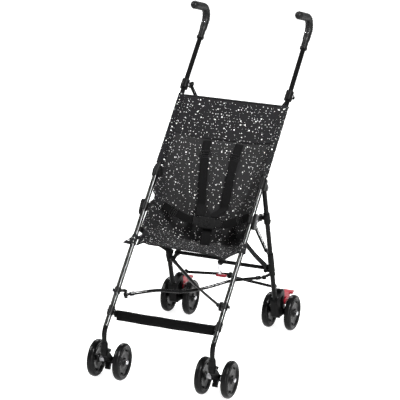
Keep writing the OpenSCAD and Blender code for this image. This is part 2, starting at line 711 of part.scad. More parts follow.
// The front hem is drawn up the tube at the right corner
function drawn(t, u) = corner_rise * pow(max(0, u - 0.5) / 0.5, 2) * max(0, 1 - t / turn_t);
function seat_point(t, u, o) = p3(u * edge_x(row_s(t)), tube2(row_s(t) + drawn(t, u), mix(2 + 0.1 * row_o(t), row_o(t), hang(u)) + fold_of(t, u) + o));
module sheet(n, m, t0, t1) {
  pts = [for (o = [0, cloth], i = [0 : n], j = [0 : m]) seat_point(mix(t0, t1, i / n), 2 * j / m - 1, o)];
  w = m + 1;
  half = (n + 1) * w;
  faces = concat(
    [for (i = [0 : n - 1], j = [0 : m - 1]) [i * w + j, (i + 1) * w + j, (i + 1) * w + j + 1]],
    [for (i = [0 : n - 1], j = [0 : m - 1]) [i * w + j, (i + 1) * w + j + 1, i * w + j + 1]],
    [for (i = [0 : n - 1], j = [0 : m - 1]) [half + i * w + j, half + (i + 1) * w + j + 1, half + (i + 1) * w + j]],
    [for (i = [0 : n - 1], j = [0 : m - 1]) [half + i * w + j, half + i * w + j + 1, half + (i + 1) * w + j + 1]],
    [for (j = [0 : m - 1]) [j, j + 1, half + j + 1]],
    [for (j = [0 : m - 1]) [j, half + j + 1, half + j]],
    [for (j = [0 : m - 1]) [n * w + j, half + n * w + j + 1, n * w + j + 1]],
    [for (j = [0 : m - 1]) [n * w + j, half + n * w + j, half + n * w + j + 1]],
    [for (i = [0 : n - 1]) [i * w, half + i * w, half + (i + 1) * w]],
    [for (i = [0 : n - 1]) [i * w, half + (i + 1) * w, (i + 1) * w]],
    [for (i = [0 : n - 1]) [i * w + m, half + (i + 1) * w + m, half + i * w + m]],
    [for (i = [0 : n - 1]) [i * w + m, (i + 1) * w + m, half + (i + 1) * w + m]]);
  polyhedron(pts, faces);
}
module seat_base() color(charcoal) sheet(base_rows, cols, 0, turn_t - seam);
module seat_back() color(charcoal) sheet(back_rows, cols, turn_t + seam, 1);

module sleeve(rise) difference() {
  union() {
    tube_collar(seat_top_at - sleeve_len, seat_top_at, tube_d + 6);
    tube_collar(seat_at - 4 + rise, loop_end + rise, tube_d + 6);
  }
  tube_collar(seat_at - 5, seat_top_at + 1, tube_d + 2);
}
module sleeve_left() color(charcoal) left() sleeve(0);
module sleeve_right() color(charcoal) sleeve(corner_rise);

// Harness: each strap is a plain band between two points that lie on the seat
function on_seat(t, u, lift = 5) = seat_point(t, u, -web_t / 2 - lift);
module band(a, b, w, t, side) {
  v = unit(b - a);
  n = unit(cross(side, v));
  s = cross(v, n);
  multmatrix([[v[0], s[0], n[0], a[0]], [v[1], s[1], n[1], a[1]], [v[2], s[2], n[2], a[2]], [0, 0, 0, 1]])
    translate([0, -w / 2, -t / 2]) cube([norm(b - a), w, t]);
}
buckle = on_seat(0.44, 0) + [0, -38, -4];
shoulder = [on_seat(0.775, 0.325, 1.2), on_seat(0.735, 0.312), on_seat(0.6, 0.267), on_seat(0.475, 0.225) + [0, -3, 0], buckle + [buckle_w * 0.4286, 1, buckle_h * 0.558]];
waist_out = on_seat(0.427, 0.86) + [0, -5.2, 7.2];
crotch_low = on_seat(0.27, 0, 0.2);
module shoulder_straps() color(dark) for (m = [-1, 1]) mirror([m < 0 ? 1 : 0, 0, 0])
  for (i = [0 : 3]) band(shoulder[i], shoulder[i + 1] + unit(shoulder[i + 1] - shoulder[i]) * (i < 3 ? 0.6 : 0), web_w + i * 0.02, web_t, [1, 0, 0]);
module waist_straps() color(dark) for (m = [-1, 1]) mirror([m < 0 ? 1 : 0, 0, 0])
  band(waist_out, buckle + [buckle_w * 1.02, 0, 2], web_w, web_t, [0, 0.25, 1]);
module crotch_strap() color(dark) band(buckle + [0, 4, -buckle_h * 0.5263], crotch_low, web_w + 8, web_t, [1, 0, 0]);
module buckle_body() color(plastic) translate(buckle) rotate([-12, 0, 0]) difference() {
  union() {
    translate([-buckle_w / 2, -6, -buckle_h / 2]) cube([buckle_w, 12, buckle_h]);
    for (m = [-1, 1]) translate([m * buckle_w * 0.6786, 0, 2]) cube([buckle_w * 0.366, 8, buckle_h * 0.684], center = true);
  }
  rotate([90, 0, 0]) translate([0, 0, 1]) cylinder(h = 12, d = 20 + 2 * gap);
}
module buckle_button() color(grey) translate(buckle) rotate([-12, 0, 0]) rotate([90, 0, 0])
  translate([0, 0, 1.6 + gap]) cylinder(h = 5.6, d = 20);
module strap_sliders() color(plastic) for (m = [-1, 1]) mirror([m < 0 ? 1 : 0, 0, 0]) {
  a = mix(shoulder[1], shoulder[2], 0.03);
  b = mix(shoulder[1], shoulder[2], 0.3);
  difference() {
    band(a, b, web_w + 9, web_t + 3.4, [1, 0, 0]);
    band(shoulder[1], shoulder[2], web_w + 1.2, web_t + 0.9, [1, 0, 0]);
  }
}

main_tube_left();
main_tube_right();
handle_grip_left();
handle_grip_right();
upper_bracket_left();
upper_bracket_right();
leg_pivot_left();
leg_pivot_right();
side_bracket_left();
side_bracket_right();
brace_bracket_left();
brace_bracket_right();
foot_bracket_left();
foot_bracket_right();
caster_housing_left();
caster_housing_right();
swivel_lock_left();
swivel_lock_right();
caster_fork_left();
caster_fork_right();
front_wheel_left_out();
front_wheel_left_in();
front_wheel_right_in();
front_wheel_right_out();
rear_leg_left();
rear_leg_right();
cross_joint_left();
cross_joint_right();
rear_bracket_left();
rear_bracket_right();
brake_pedal_left();
brake_pedal_right();
rear_wheel_left_out();
rear_wheel_left_in();
rear_wheel_right_in();
rear_wheel_right_out();
back_brace_left();
back_brace_right();
lower_brace_left();
lower_brace_right();
rear_bar_left();
rear_bar_right();
fold_pedal();
pedal_pad();
lock_link_left();
lock_link_right();
latch_clamp();
storage_latch();
footrest_band();
seat_base();
seat_back();
sleeve_left();
sleeve_right();
shoulder_straps();
waist_straps();
crotch_strap();
buckle_body();
buckle_button();
strap_sliders();
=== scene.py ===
"""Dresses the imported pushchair: cloth, webbing, grips, wheels, finishes, light and camera."""

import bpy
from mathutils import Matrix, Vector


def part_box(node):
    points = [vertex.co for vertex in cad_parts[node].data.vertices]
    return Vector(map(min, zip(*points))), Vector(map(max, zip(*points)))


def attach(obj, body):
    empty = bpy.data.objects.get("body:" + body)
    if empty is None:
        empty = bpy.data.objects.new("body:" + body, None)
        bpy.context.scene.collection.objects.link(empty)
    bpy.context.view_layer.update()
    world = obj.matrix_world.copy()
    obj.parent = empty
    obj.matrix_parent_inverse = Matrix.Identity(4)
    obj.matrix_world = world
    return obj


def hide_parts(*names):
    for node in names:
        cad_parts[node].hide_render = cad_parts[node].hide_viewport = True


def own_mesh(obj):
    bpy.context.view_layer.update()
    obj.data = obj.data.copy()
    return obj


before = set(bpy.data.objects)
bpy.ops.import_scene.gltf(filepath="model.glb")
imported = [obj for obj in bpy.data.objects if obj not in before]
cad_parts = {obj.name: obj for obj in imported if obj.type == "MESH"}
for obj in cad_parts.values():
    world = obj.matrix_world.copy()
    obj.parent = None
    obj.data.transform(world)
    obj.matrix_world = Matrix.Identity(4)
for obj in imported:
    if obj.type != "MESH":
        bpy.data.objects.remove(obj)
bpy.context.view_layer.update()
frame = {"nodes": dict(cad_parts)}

import logging
import math
from dataclasses import dataclass
from enum import Enum
from typing import Callable, ClassVar, Optional, Sequence

import bpy
import numpy as np
from mathutils import Matrix

LOG = logging.getLogger("pushchair")

Array = np.ndarray
Shell = tuple[Array, Array]
Triple = tuple[float, float, float]
Tree = bpy.types.NodeTree
Node = bpy.types.Node
Socket = bpy.types.NodeSocket
Object = bpy.types.Object
Material = bpy.types.Material

# The frame's own places in metres; a pair is Y and Z
HALF_TRACK = 0.183
WHEEL_RADIUS = 0.060
WHEELBASE = 0.585
CASTER_TRAIL = 0.037
BEND_HEIGHT = 0.172
FRONT_AXLE = np.array([-0.386916, WHEEL_RADIUS])
REAR_AXLE = FRONT_AXLE + [WHEELBASE, 0.0]
BEND = np.array([FRONT_AXLE[0] - CASTER_TRAIL, BEND_HEIGHT])
TUBE_ANGLE = math.radians(43.0)
TUBE_DIR = np.array([math.cos(TUBE_ANGLE), math.sin(TUBE_ANGLE)])
TUBE_BACK = np.array([math.sin(TUBE_ANGLE), -math.cos(TUBE_ANGLE)])
LEG_AT = 0.585
LEG_OFF = 0.024
LEG_TRAIL = 0.047
LEG_LIFT = 0.002
LEG_TOP = BEND + TUBE_DIR * LEG_AT + TUBE_BACK * LEG_OFF
LEG_FOOT = REAR_AXLE + [-LEG_TRAIL, LEG_LIFT]
LEG_DIR = (LEG_FOOT - LEG_TOP) / np.linalg.norm(LEG_FOOT - LEG_TOP)
LEG_BACK = np.array([-LEG_DIR[1], LEG_DIR[0]])

X_AXIS = np.array([1.0, 0.0, 0.0])
Y_AXIS = np.array([0.0, 1.0, 0.0])
Z_AXIS = np.array([0.0, 0.0, 1.0])
TUBE_FRONT = np.array([0.0, *-TUBE_BACK])


class Side(Enum):
    """The two sides of the frame, each with its sign along X."""

    LEFT = -1
    RIGHT = 1

    @property
    def word(self) -> str:
        """The side's word in node and body names."""
        return self.name.lower()

    @property
    def flip(self) -> Array:
        """Factors that put a point of the right side on this side."""
        return np.array([self.value, 1.0, 1.0])


# Points and surfaces


def tube_point(x: float | Array, s: float | Array, o: float | Array = 0.0) -> Array:
    """Point beside a main tube.

    The tube is a straight line that climbs from the lower bend; s runs along it and o behind it.

    Args:
        x: Place across the part.
        s: Place along the tube.
        o: Distance behind the tube's line.

    Returns:
        Points with X, Y and Z in the last axis.
    """
    x, s, o = np.broadcast_arrays(*(np.asarray(v, float) for v in (x, s, o)))
    y, z = (BEND[k] + s * TUBE_DIR[k] + o * TUBE_BACK[k] for k in (0, 1))
    return np.stack([x, y, z], -1)


def leg_point(x: float, d: float, o: float = 0.0) -> Array:
    """Point beside a rear leg, d down it and o behind it."""
    return np.array([x, *(LEG_TOP + LEG_DIR * d + LEG_BACK * o)])


def ease(t: Array) -> Array:
    """Smooth step from 0 to 1: three squares less two cubes."""
    t = np.clip(t, 0.0, 1.0)
    return t * t * (3 - 2 * t)


def bell(v: Array, middle: float, half: float, power: int = 2) -> Array:
    """Bell of height 1 round a middle; a higher power has a flatter top."""
    return np.exp(-(((v - middle) / half) ** power))


def bent(v: Array, power: float) -> Array:
    """A sine or cosine raised to a power with its sign kept, which squares a round outline."""
    return np.sign(v) * np.abs(v) ** power


def turns(count: int) -> Array:
    """Angles evenly spaced round a circle."""
    return np.linspace(0, 2 * np.pi, count, endpoint=False)


def unit(v: Array) -> Array:
    """Vectors of length one along the last axis."""
    return v / np.maximum(np.linalg.norm(v, axis=-1, keepdims=True), 1e-12)


def run_along(line: Array) -> Array:
    """Length along a line at each of its points."""
    return np.r_[0, np.cumsum(np.linalg.norm(np.diff(line, axis=0), axis=1))]


def resample(line: Array, count: int) -> Array:
    """The same line with points evenly spaced by length.

    Args:
        line: Points in order.
        count: Number of samples.

    Returns:
        Samples.
    """
    run = run_along(line)
    at = np.linspace(0, run[-1], count)
    return np.stack([np.interp(at, run, line[:, k]) for k in range(line.shape[1])], -1)


def smooth_path(points: Array, count: int) -> Array:
    """Smooth cubic curve through points: each span's slopes lie along the chords of its neighbours.

    Args:
        points: Points to pass, in order.
        count: Number of samples.

    Returns:
        Samples, evenly spaced by length.
    """
    p = np.asarray(points, float)
    ends = np.vstack([2 * p[0] - p[1], p, 2 * p[-1] - p[-2]])
    t = np.linspace(0, 1, 24, endpoint=False)[None, :, None]
    a, b, c, d = (ends[i : len(ends) - 3 + i][:, None, :] for i in range(4))
    curve = 0.5 * (2 * b + (c - a) * t + (2 * a - 5 * b + 4 * c - d) * t**2 + (3 * b - a - 3 * c + d) * t**3)
    return resample(np.vstack([curve.reshape(-1, p.shape[1]), p[-1]]), count)


def quads(rows: int, cols: int, wrap: bool) -> Array:
    """Quads of a grid of points.

    Args:
        rows: Points along the first parameter.
        cols: Points along the second parameter.
        wrap: True if the second parameter closes on itself.

    Returns:
        Indices, four to a row.
    """
    i = np.arange(rows - 1)[:, None] * cols
    j = np.arange(cols if wrap else cols - 1)[None, :]
    k = (j + 1) % cols
    return np.stack([i + j, i + k, i + cols + k, i + cols + j], -1).reshape(-1, 4)


def capped(grid: Array) -> Shell:
    """A grid that closes on itself around, with its first and last ring closed by fans to their middles.

    Args:
        grid: Points by ring and by place round the ring.

    Returns:
        Vertices and faces; a fan's triangle repeats its last index.
    """
    rows, cols = grid.shape[:2]
    count = rows * cols
    ring = np.arange(cols)
    after = np.roll(ring, -1)
    first, last = (np.full(cols, count + k) for k in (0, 1))
    low = np.stack([after, ring, first, first], -1)
    top = np.stack([ring + count - cols, after + count - cols, last, last], -1)
    verts = np.vstack([grid.reshape(-1, 3), grid[0].mean(0), grid[-1].mean(0)])
    return verts, np.vstack([quads(rows, cols, True), low, top])


def carry(path: Array, across: Array, section: Array, closed: bool = False) -> Shell:
    """A section carried along a path, with flat ends.

    At each point the section's first axis lies along across, made square to the path,
    and its second along the cross product of both.

    Args:
        path: Points along the middle.
        across: One vector or one for each point, for the section's first axis.
        section: Outline points, one set or one for each path point.
        closed: True if the path returns to its start.

    Returns:
        Vertices and faces.
    """
    if closed:
        along = unit(np.roll(path, -1, 0) - np.roll(path, 1, 0))
    else:
        along = unit(np.gradient(path, axis=0))
    side = np.broadcast_to(across, path.shape)
    side = unit(side - along * np.sum(side * along, -1, keepdims=True))
    rise = np.cross(along, side)
    outline = np.broadcast_to(section, (len(path),) + section.shape[-2:])
    grid = path[:, None] + outline[..., :1] * side[:, None] + outline[..., 1:] * rise[:, None]
    if not closed:
        return capped(grid)
    rows, cols = grid.shape[:2]
    first = np.arange(cols)
    last = (rows - 1) * cols + first
    seam = np.stack([last, np.roll(last, -1), np.roll(first, -1), first], -1)
    return grid.reshape(-1, 3), np.vstack([quads(rows, cols, True), seam])


def ring_section(radius: float, count: int = 24) -> Array:
    """Round outline."""
    a = turns(count)
    return np.stack([np.cos(a), np.sin(a)], -1) * radius


def band_section(width: float, thick: float, count: int = 28) -> Array:
    """Outline of a flat band with rounded edges, a superellipse."""
    a = turns(count)
    return np.stack([bent(np.cos(a), 0.3) * width / 2, bent(np.sin(a), 0.55) * thick / 2], -1)


def spin(
    outline: Array,
    centre: Array,
    axis: Array,
    count: int,
    press: Optional[Callable[[Array, Array], Array]] = None,
) -> Shell:
    """An outline of radius and height turned about an axis.

    Args:
        outline: Radius and height pairs, from the side that the axis points to.
        centre: Point on the axis at height 0.
        axis: Direction of the axis.
        count: Steps around.
        press: Optional change of height by radius and angle.

    Returns:
        Vertices and faces.
    """
    axis = unit(np.asarray(axis, float))
    helper = Z_AXIS if abs(axis[2]) < 0.9 else Y_AXIS
    e1 = unit(np.cross(helper, axis))
    e2 = np.cross(axis, e1)
    a = turns(count)[None, :]
    r = outline[:, :1] + 0 * a
    h = outline[:, 1:] + 0 * a
    if press is not None:
        h = h + press(r, a + 0 * r)
    around = np.cos(a)[..., None] * e1 + np.sin(a)[..., None] * e2
    grid = centre + r[..., None] * around + h[..., None] * axis
    return capped(grid[::-1])


def pillow(size: Triple, power: float, turn: Array, centre: Array, steps: tuple[int, int]) -> Shell:
    """A block with rounded edges, a superellipsoid.

    Args:
        size: Full size along its own three axes.
        power: Exponent; smaller is squarer.
        turn: Matrix whose columns are its own axes.
        centre: Its middle.
        steps: Steps from pole to pole and around.

    Returns:
        Vertices and faces.
    """
    e = np.linspace(-np.pi / 2, np.pi / 2, steps[0])[:, None]
    w = turns(steps[1])[None, :]
    wide = bent(np.cos(e), power)
    tall = bent(np.sin(e), power) + 0 * w
    grid = np.stack([wide * bent(np.cos(w), power), wide * bent(np.sin(w), power), tall], -1)
    return capped((grid * np.asarray(size) / 2) @ np.asarray(turn, float).T + centre)


def together(shells: Sequence[Shell]) -> Shell:
    """Several shells as one."""
    starts = np.cumsum([0] + [len(v) for v, _ in shells[:-1]])
    return np.vstack([v for v, _ in shells]), np.vstack([f + s for (_, f), s in zip(shells, starts)])


def mirrored(shell: Shell, side: Side) -> Shell:
    """A shell made for the right side, on the given side.

    Args:
        shell: Vertices and faces on the right.
        side: Where it goes.

    Returns:
        Vertices and faces, with the faces turned round on the left so that they still point outwards.
    """
    if side is Side.RIGHT:
        return shell
    verts, faces = shell
    return verts * side.flip, faces[:, [1, 0, 3, 2]]


# Shader nodes and effects


def feed(tree: Tree, target: Node, inputs: dict) -> None:
    """Fills inputs of a node.

    Args:
        tree: The node's tree.
        target: The node.
        inputs: By name or number, another node's output to link or a plain value to set.
    """
    for key, value in inputs.items():
        if isinstance(value, Socket):
            tree.links.new(value, target.inputs[key])
        else:
            target.inputs[key].default_value = value


def node(tree: Tree, kind: str, inputs: Optional[dict] = None, **settings: object) -> Node:
    """A new node.

    Args:
        tree: Where it goes.
        kind: Its type.
        inputs: Its inputs, as feed takes them.
        settings: Its properties.

    Returns:
        The node.
    """
    made = tree.nodes.new(kind)
    for key, value in settings.items():
        setattr(made, key, value)
    feed(tree, made, inputs or {})
    return made


def maths(tree: Tree, operation: str, a: object, b: object = 0.0) -> Socket:
    """The output of a Math node."""
    return node(tree, "ShaderNodeMath", {0: a, 1: b}, operation=operation).outputs[0]


def blend(tree: Tree, a: Socket, share_a: float, b: Socket, share_b: float) -> Socket:
    """The sum of two values, each times its share."""
    parts = [maths(tree, "MULTIPLY", value, share) for value, share in ((a, share_a), (b, share_b))]
    return maths(tree, "ADD", *parts)


def span(tree: Tree, value: Socket, start: tuple[float, float], end: tuple[float, object]) -> Socket:
    """The output of a Map Range node, which takes the start pair to the end pair."""
    return node(tree, "ShaderNodeMapRange", dict(enumerate((value, *start, *end)))).outputs[0]


def two_tone(tree: Tree, mask: Socket, a: Socket | Triple, b: Socket | Triple) -> Socket:
    """A mix of two colours.

    Args:
        tree: The material's tree.
        mask: Share of the second colour.
        a: First colour, three numbers or another node's output.
        b: Second colour, likewise.

    Returns:
        The mixed colour.
    """
    first, second = (c if isinstance(c, Socket) else (*c, 1.0) for c in (a, b))
    return node(tree, "ShaderNodeMix", {"Factor": mask, 6: first, 7: second}, data_type="RGBA").outputs[2]


def noise(tree: Tree, place: Socket, scale: object, detail: float) -> Node:
    """A noise texture."""
    return node(tree, "ShaderNodeTexNoise", {"Vector": place, "Scale": scale, "Detail": detail})


def blank(name: str) -> tuple[Material, Tree, Node]:
    """A material with only its Principled shader.

    Args:
        name: The material's name.

    Returns:
        The material, its tree and the shader.
    """
    made = bpy.data.materials.new(name)
    made.use_nodes = True
    tree = made.node_tree
    shader = next(n for n in tree.nodes if n.type == "BSDF_PRINCIPLED")
    return made, tree, shader


class Effect:
    """A shader node group, built once and placed in each material with its own values."""

    name: ClassVar[str]
    place_input: ClassVar[str]
    values: ClassVar[tuple[str, ...]]
    results: ClassVar[tuple[str, ...]]

    def lay(self, tree: Tree, ins: dict[str, Socket]) -> tuple[Socket, ...]:
        """Lays the group's nodes; each effect has its own."""
        raise NotImplementedError

    def build(self) -> Tree:
        """Makes the group: its sockets, then its nodes.

        Returns:
            The group's tree.
        """
        tree = bpy.data.node_groups.new(self.name, "ShaderNodeTree")
        sockets = [(self.place_input, "INPUT", "NodeSocketVector")]
        sockets += [(label, "INPUT", "NodeSocketFloat") for label in self.values]
        sockets += [(label, "OUTPUT", "NodeSocketFloat") for label in self.results]
        for label, way, kind in sockets:
            tree.interface.new_socket(name=label, in_out=way, socket_type=kind)
        ins, outs = (tree.nodes.new(kind) for kind in ("NodeGroupInput", "NodeGroupOutput"))
        feed(tree, outs, dict(zip(self.results, self.lay(tree, ins.outputs))))
        return tree

    def place(self, tree: Tree, place: Socket, *values: float) -> Node:
        """Puts the group into a material.

        Args:
            tree: The material's tree.
            place: Coordinates for the pattern.
            values: The group's values, in order.

        Returns:
            The group's node.
        """
        inner = bpy.data.node_groups.get(self.name) or self.build()
        inputs = {self.place_input: place, **dict(zip(self.values, values))}
        return node(tree, "ShaderNodeGroup", inputs, node_tree=inner)


class SurfaceGrain(Effect):
    """Moulded or sprayed grain: a fine and a broad noise, as a height and a tone."""

    name = "surface_grain"
    place_input = "Vector"
    values = ("Scale",)
    results = ("Height", "Tone")

    def lay(self, tree: Tree, ins: dict[str, Socket]) -> tuple[Socket, ...]:
        """Lays two noises; the fine one is the height, both make the tone.

        Args:
            tree: The group's tree.
            ins: The group's inputs.

        Returns:
            Height and tone.
        """
        fine = noise(tree, ins["Vector"], ins["Scale"], 3.0).outputs[0]
        broad = noise(tree, ins["Vector"], 14.0, 4.0).outputs[0]
        return fine, blend(tree, fine, 0.35, broad, 0.65)


class WovenThreads(Effect):
    """Woven threads in the UV map, in metres: crossed sine ridges broken by a noise."""

    name = "woven_threads"
    place_input = "UV"
    values = ("Across", "Along")
    results = ("Height", "Tone")

    def lay(self, tree: Tree, ins: dict[str, Socket]) -> tuple[Socket, ...]:
        """Lays ridges over and under, from the product of two sines.

        Args:
            tree: The group's tree.
            ins: The group's inputs.

        Returns:
            Height and tone.
        """
        split = node(tree, "ShaderNodeSeparateXYZ", {0: ins["UV"]})
        warp = maths(tree, "SINE", maths(tree, "MULTIPLY", split.outputs[0], ins["Across"]))
        weft = maths(tree, "SINE", maths(tree, "MULTIPLY", split.outputs[1], ins["Along"]))
        cross = maths(tree, "MULTIPLY", warp, weft)
        height = maths(tree, "ADD", maths(tree, "MULTIPLY", cross, 0.5), 0.5)
        slub = noise(tree, ins["UV"], 900.0, 2.0).outputs[0]
        return height, blend(tree, height, 0.4, slub, 0.6)


class ScatteredFlecks(Effect):
    """Scattered flecks in the UV map: cells whose middle is within a random small radius."""

    name = "scattered_flecks"
    place_input = "UV"
    values = ("Cells", "Size", "Bare")
    results = ("Mask",)
    wobble: ClassVar[Triple] = (0.0008, 0.0008, 0.0)

    def lay(self, tree: Tree, ins: dict[str, Socket]) -> tuple[Socket, ...]:
        """Lays the distance to each cell's point against a radius drawn from the cell's colour.

        Args:
            tree: The group's tree.
            ins: The group's inputs.

        Returns:
            The flecks' mask.
        """
        bend = noise(tree, ins["UV"], 420.0, 1.0)
        shift = node(tree, "ShaderNodeVectorMath", {0: bend.outputs[1], 1: self.wobble}, operation="MULTIPLY")
        place = node(tree, "ShaderNodeVectorMath", {0: ins["UV"], 1: shift.outputs[0]}, operation="ADD")
        inputs = {"Vector": place.outputs[0], "Scale": ins["Cells"], "Randomness": 1.0}
        cells = node(tree, "ShaderNodeTexVoronoi", inputs, voronoi_dimensions="2D")
        draw = node(tree, "ShaderNodeSeparateColor", {0: cells.outputs["Color"]}).outputs
        spread = span(tree, maths(tree, "POWER", draw[0], 2.0), (0.0, 1.0), (0.38, 1.0))
        radius = maths(tree, "MULTIPLY", spread, ins["Size"])
        edge = span(tree, maths(tree, "SUBTRACT", radius, cells.outputs["Distance"]), (0.0, 0.02), (0.0, 1.0))
        shown = maths(tree, "GREATER_THAN", draw[1], ins["Bare"])
        strength = span(tree, draw[2], (0.0, 1.0), (0.75, 1.0))
        return (maths(tree, "MULTIPLY", maths(tree, "MULTIPLY", edge, shown), strength),)


# Finishes


@dataclass(frozen=True)
class HardFinish:
    """Paint, plastic, rubber or plated steel with a grain.

    The grain is its noise's scale, and the tones are the span of that noise between the two colours.
    """

    name: str
    dark: Triple
    light: Triple
    rough: tuple[float, float]
    grain: float
    bump: float
    level: float = 0.5
    metal: float = 0.0
    tones: tuple[float, float] = (0.35, 0.65)
    relief: float = 0.0004

    def make(self) -> Material:
        """Builds the material: tone between two colours, roughness by tone and a fine bump.

        Returns:
            The material.
        """
        made, tree, shader = blank(self.name)
        place = node(tree, "ShaderNodeTexCoord").outputs["Object"]
        grain = SurfaceGrain().place(tree, place, self.grain)
        tone = grain.outputs["Tone"]
        inputs = {"Height": grain.outputs["Height"], "Strength": self.bump, "Distance": self.relief}
        feed(tree, shader, {
            "Base Color": two_tone(tree, span(tree, tone, self.tones, (0.0, 1.0)), self.dark, self.light),
            "Roughness": span(tree, tone, self.tones, self.rough),
            "Normal": node(tree, "ShaderNodeBump", inputs).outputs[0],
            "Metallic": self.metal,
            "Specular IOR Level": self.level,
        })
        return made


@dataclass(frozen=True)
class ClothFinish:
    """Woven cloth, with or without pale flecks and painted shade.

    The threads are the sines' angles in a metre across and along. Each set of flecks is its cells in a metre,
    its radius in cells and the share of cells left bare.
    """

    name: str
    dark: Triple
    light: Triple
    threads: tuple[float, float]
    bump: float
    flecks: tuple[Triple, ...] = ()
    # Painted shade: the side wings are darkened beyond this distance from the cloth's middle; 0 leaves the
    # cloth unshaded
    wing: float = 0.0
    fleck_colour: Triple = (0.96, 0.96, 0.95)
    # Painted shade: the colour the wings and front hem are darkened towards, and the run along the cloth
    # where the front's painted shade dies away
    painted_shade_colour: Triple = (0.004, 0.004, 0.005)
    front_shade_run: tuple[float, float] = (0.03, 0.17)
    sheen: float = 0.25
    relief: float = 0.0005

    def shaded(self, tree: Tree, place: Socket, colour: Socket) -> Socket:
        """The cloth's colour with painted shade: darker on the side wings beyond a distance from its middle,
        and near its front hem.

        Args:
            tree: The material's tree.
            place: The cloth's UV.
            colour: The colour without shade.

        Returns:
            The colour with its painted shade.
        """
        split = node(tree, "ShaderNodeSeparateXYZ", {0: place})
        off = maths(tree, "ABSOLUTE", split.outputs[0])
        # Painted shade: the side wings and the strip by the front hem darken towards the shade colour
        wing_shade = span(tree, off, (self.wing - 0.02, self.wing + 0.03), (0.0, 0.5))
        front = span(tree, split.outputs[1], self.front_shade_run, (0.7, 0.0))
        return two_tone(tree, maths(tree, "MAXIMUM", wing_shade, front), colour, self.painted_shade_colour)

    def make(self) -> Material:
        """Builds the material: thread tone, painted shade where set, flecks in two sizes and a thread bump.

        Returns:
            The material.
        """
        made, tree, shader = blank(self.name)
        place = node(tree, "ShaderNodeTexCoord").outputs["UV"]
        weave = WovenThreads().place(tree, place, *self.threads)
        tone = weave.outputs["Tone"]
        colour = two_tone(tree, span(tree, tone, (0.25, 0.75), (0.0, 1.0)), self.dark, self.light)
        # Painted shade on the side wings and near the front hem, where set
        if self.wing:
            colour = self.shaded(tree, place, colour)
        for flecks in self.flecks:
            specks = ScatteredFlecks().place(tree, place, *flecks)
            colour = two_tone(tree, specks.outputs["Mask"], colour, self.fleck_colour)
        inputs = {"Height": weave.outputs["Height"], "Strength": self.bump, "Distance": self.relief}
        feed(tree, shader, {
            "Base Color": colour,
            "Roughness": span(tree, tone, (0.2, 0.8), (0.95, 0.8)),
            "Normal": node(tree, "ShaderNodeBump", inputs).outputs[0],
            "Specular IOR Level": 0.04,
            "Sheen Weight": self.sheen,
            "Sheen Roughness": 0.5,
            "Sheen Tint": (0.3, 0.3, 0.3, 1.0),
        })
        return made


def grey(level: float) -> Triple:
    """A neutral colour with a touch of blue."""
    return (level, level, level * 1.03)


class Finishes:
    """Every finish of the part, made once."""

    def __init__(self) -> None:
        """Makes the materials."""
        black, soot = grey(0.003), grey(0.006)
        dim, slate, pale = ((grey(a), grey(b)) for a, b in ((0.004, 0.008), (0.022, 0.034), (0.62, 0.74)))
        red = (0.235, 0.008, 0.018), (0.30, 0.012, 0.024)
        flecks = (58.0, 0.145, 0.22), (100.0, 0.135, 0.5)
        self.enamel = HardFinish(
            "black_enamel", black, grey(0.005), rough=(0.03, 0.05), grain=700.0, bump=0.004, level=0.1
        ).make()
        self.plastic = HardFinish(
            "black_plastic", black, soot, rough=(0.30, 0.42), grain=1400.0, bump=0.12, level=0.08
        ).make()
        self.gloss = HardFinish(
            "wheel_plastic", black, soot, rough=(0.18, 0.28), grain=900.0, bump=0.05, level=0.12
        ).make()
        self.rubber = HardFinish(
            "grip_rubber", *dim, rough=(0.34, 0.46), grain=1600.0, bump=0.2, level=0.16
        ).make()
        self.red = HardFinish(
            "red_plastic", *red, rough=(0.32, 0.45), grain=1200.0, bump=0.08, level=0.2
        ).make()
        self.clasp = HardFinish(
            "clasp_plastic", *dim, rough=(0.2, 0.3), grain=1400.0, bump=0.06, level=0.25
        ).make()
        self.grey = HardFinish(
            "grey_plastic", *slate, rough=(0.36, 0.5), grain=1400.0, bump=0.1, level=0.2
        ).make()
        self.nylon = HardFinish(
            "pale_nylon", *pale, rough=(0.35, 0.5), grain=1200.0, bump=0.05, level=0.4
        ).make()
        self.zinc = HardFinish(
            "bright_zinc", *pale, rough=(0.16, 0.3), grain=600.0, bump=0.04, metal=1.0
        ).make()
        self.cloth = ClothFinish(
            "flecked_cloth", grey(0.010), grey(0.026), threads=(5200.0, 5200.0), bump=0.35,
            # The seat cloth has painted shade on its side wings and near its front hem
            flecks=flecks, wing=0.17, sheen=0.08,
        ).make()
        self.binding = ClothFinish(
            "black_binding", soot, grey(0.012), threads=(4200.0, 4200.0), bump=0.3
        ).make()
        self.webbing = ClothFinish(
            "black_webbing", black, grey(0.007), threads=(2600.0, 3900.0), bump=0.6, sheen=0.03
        ).make()


# Pieces


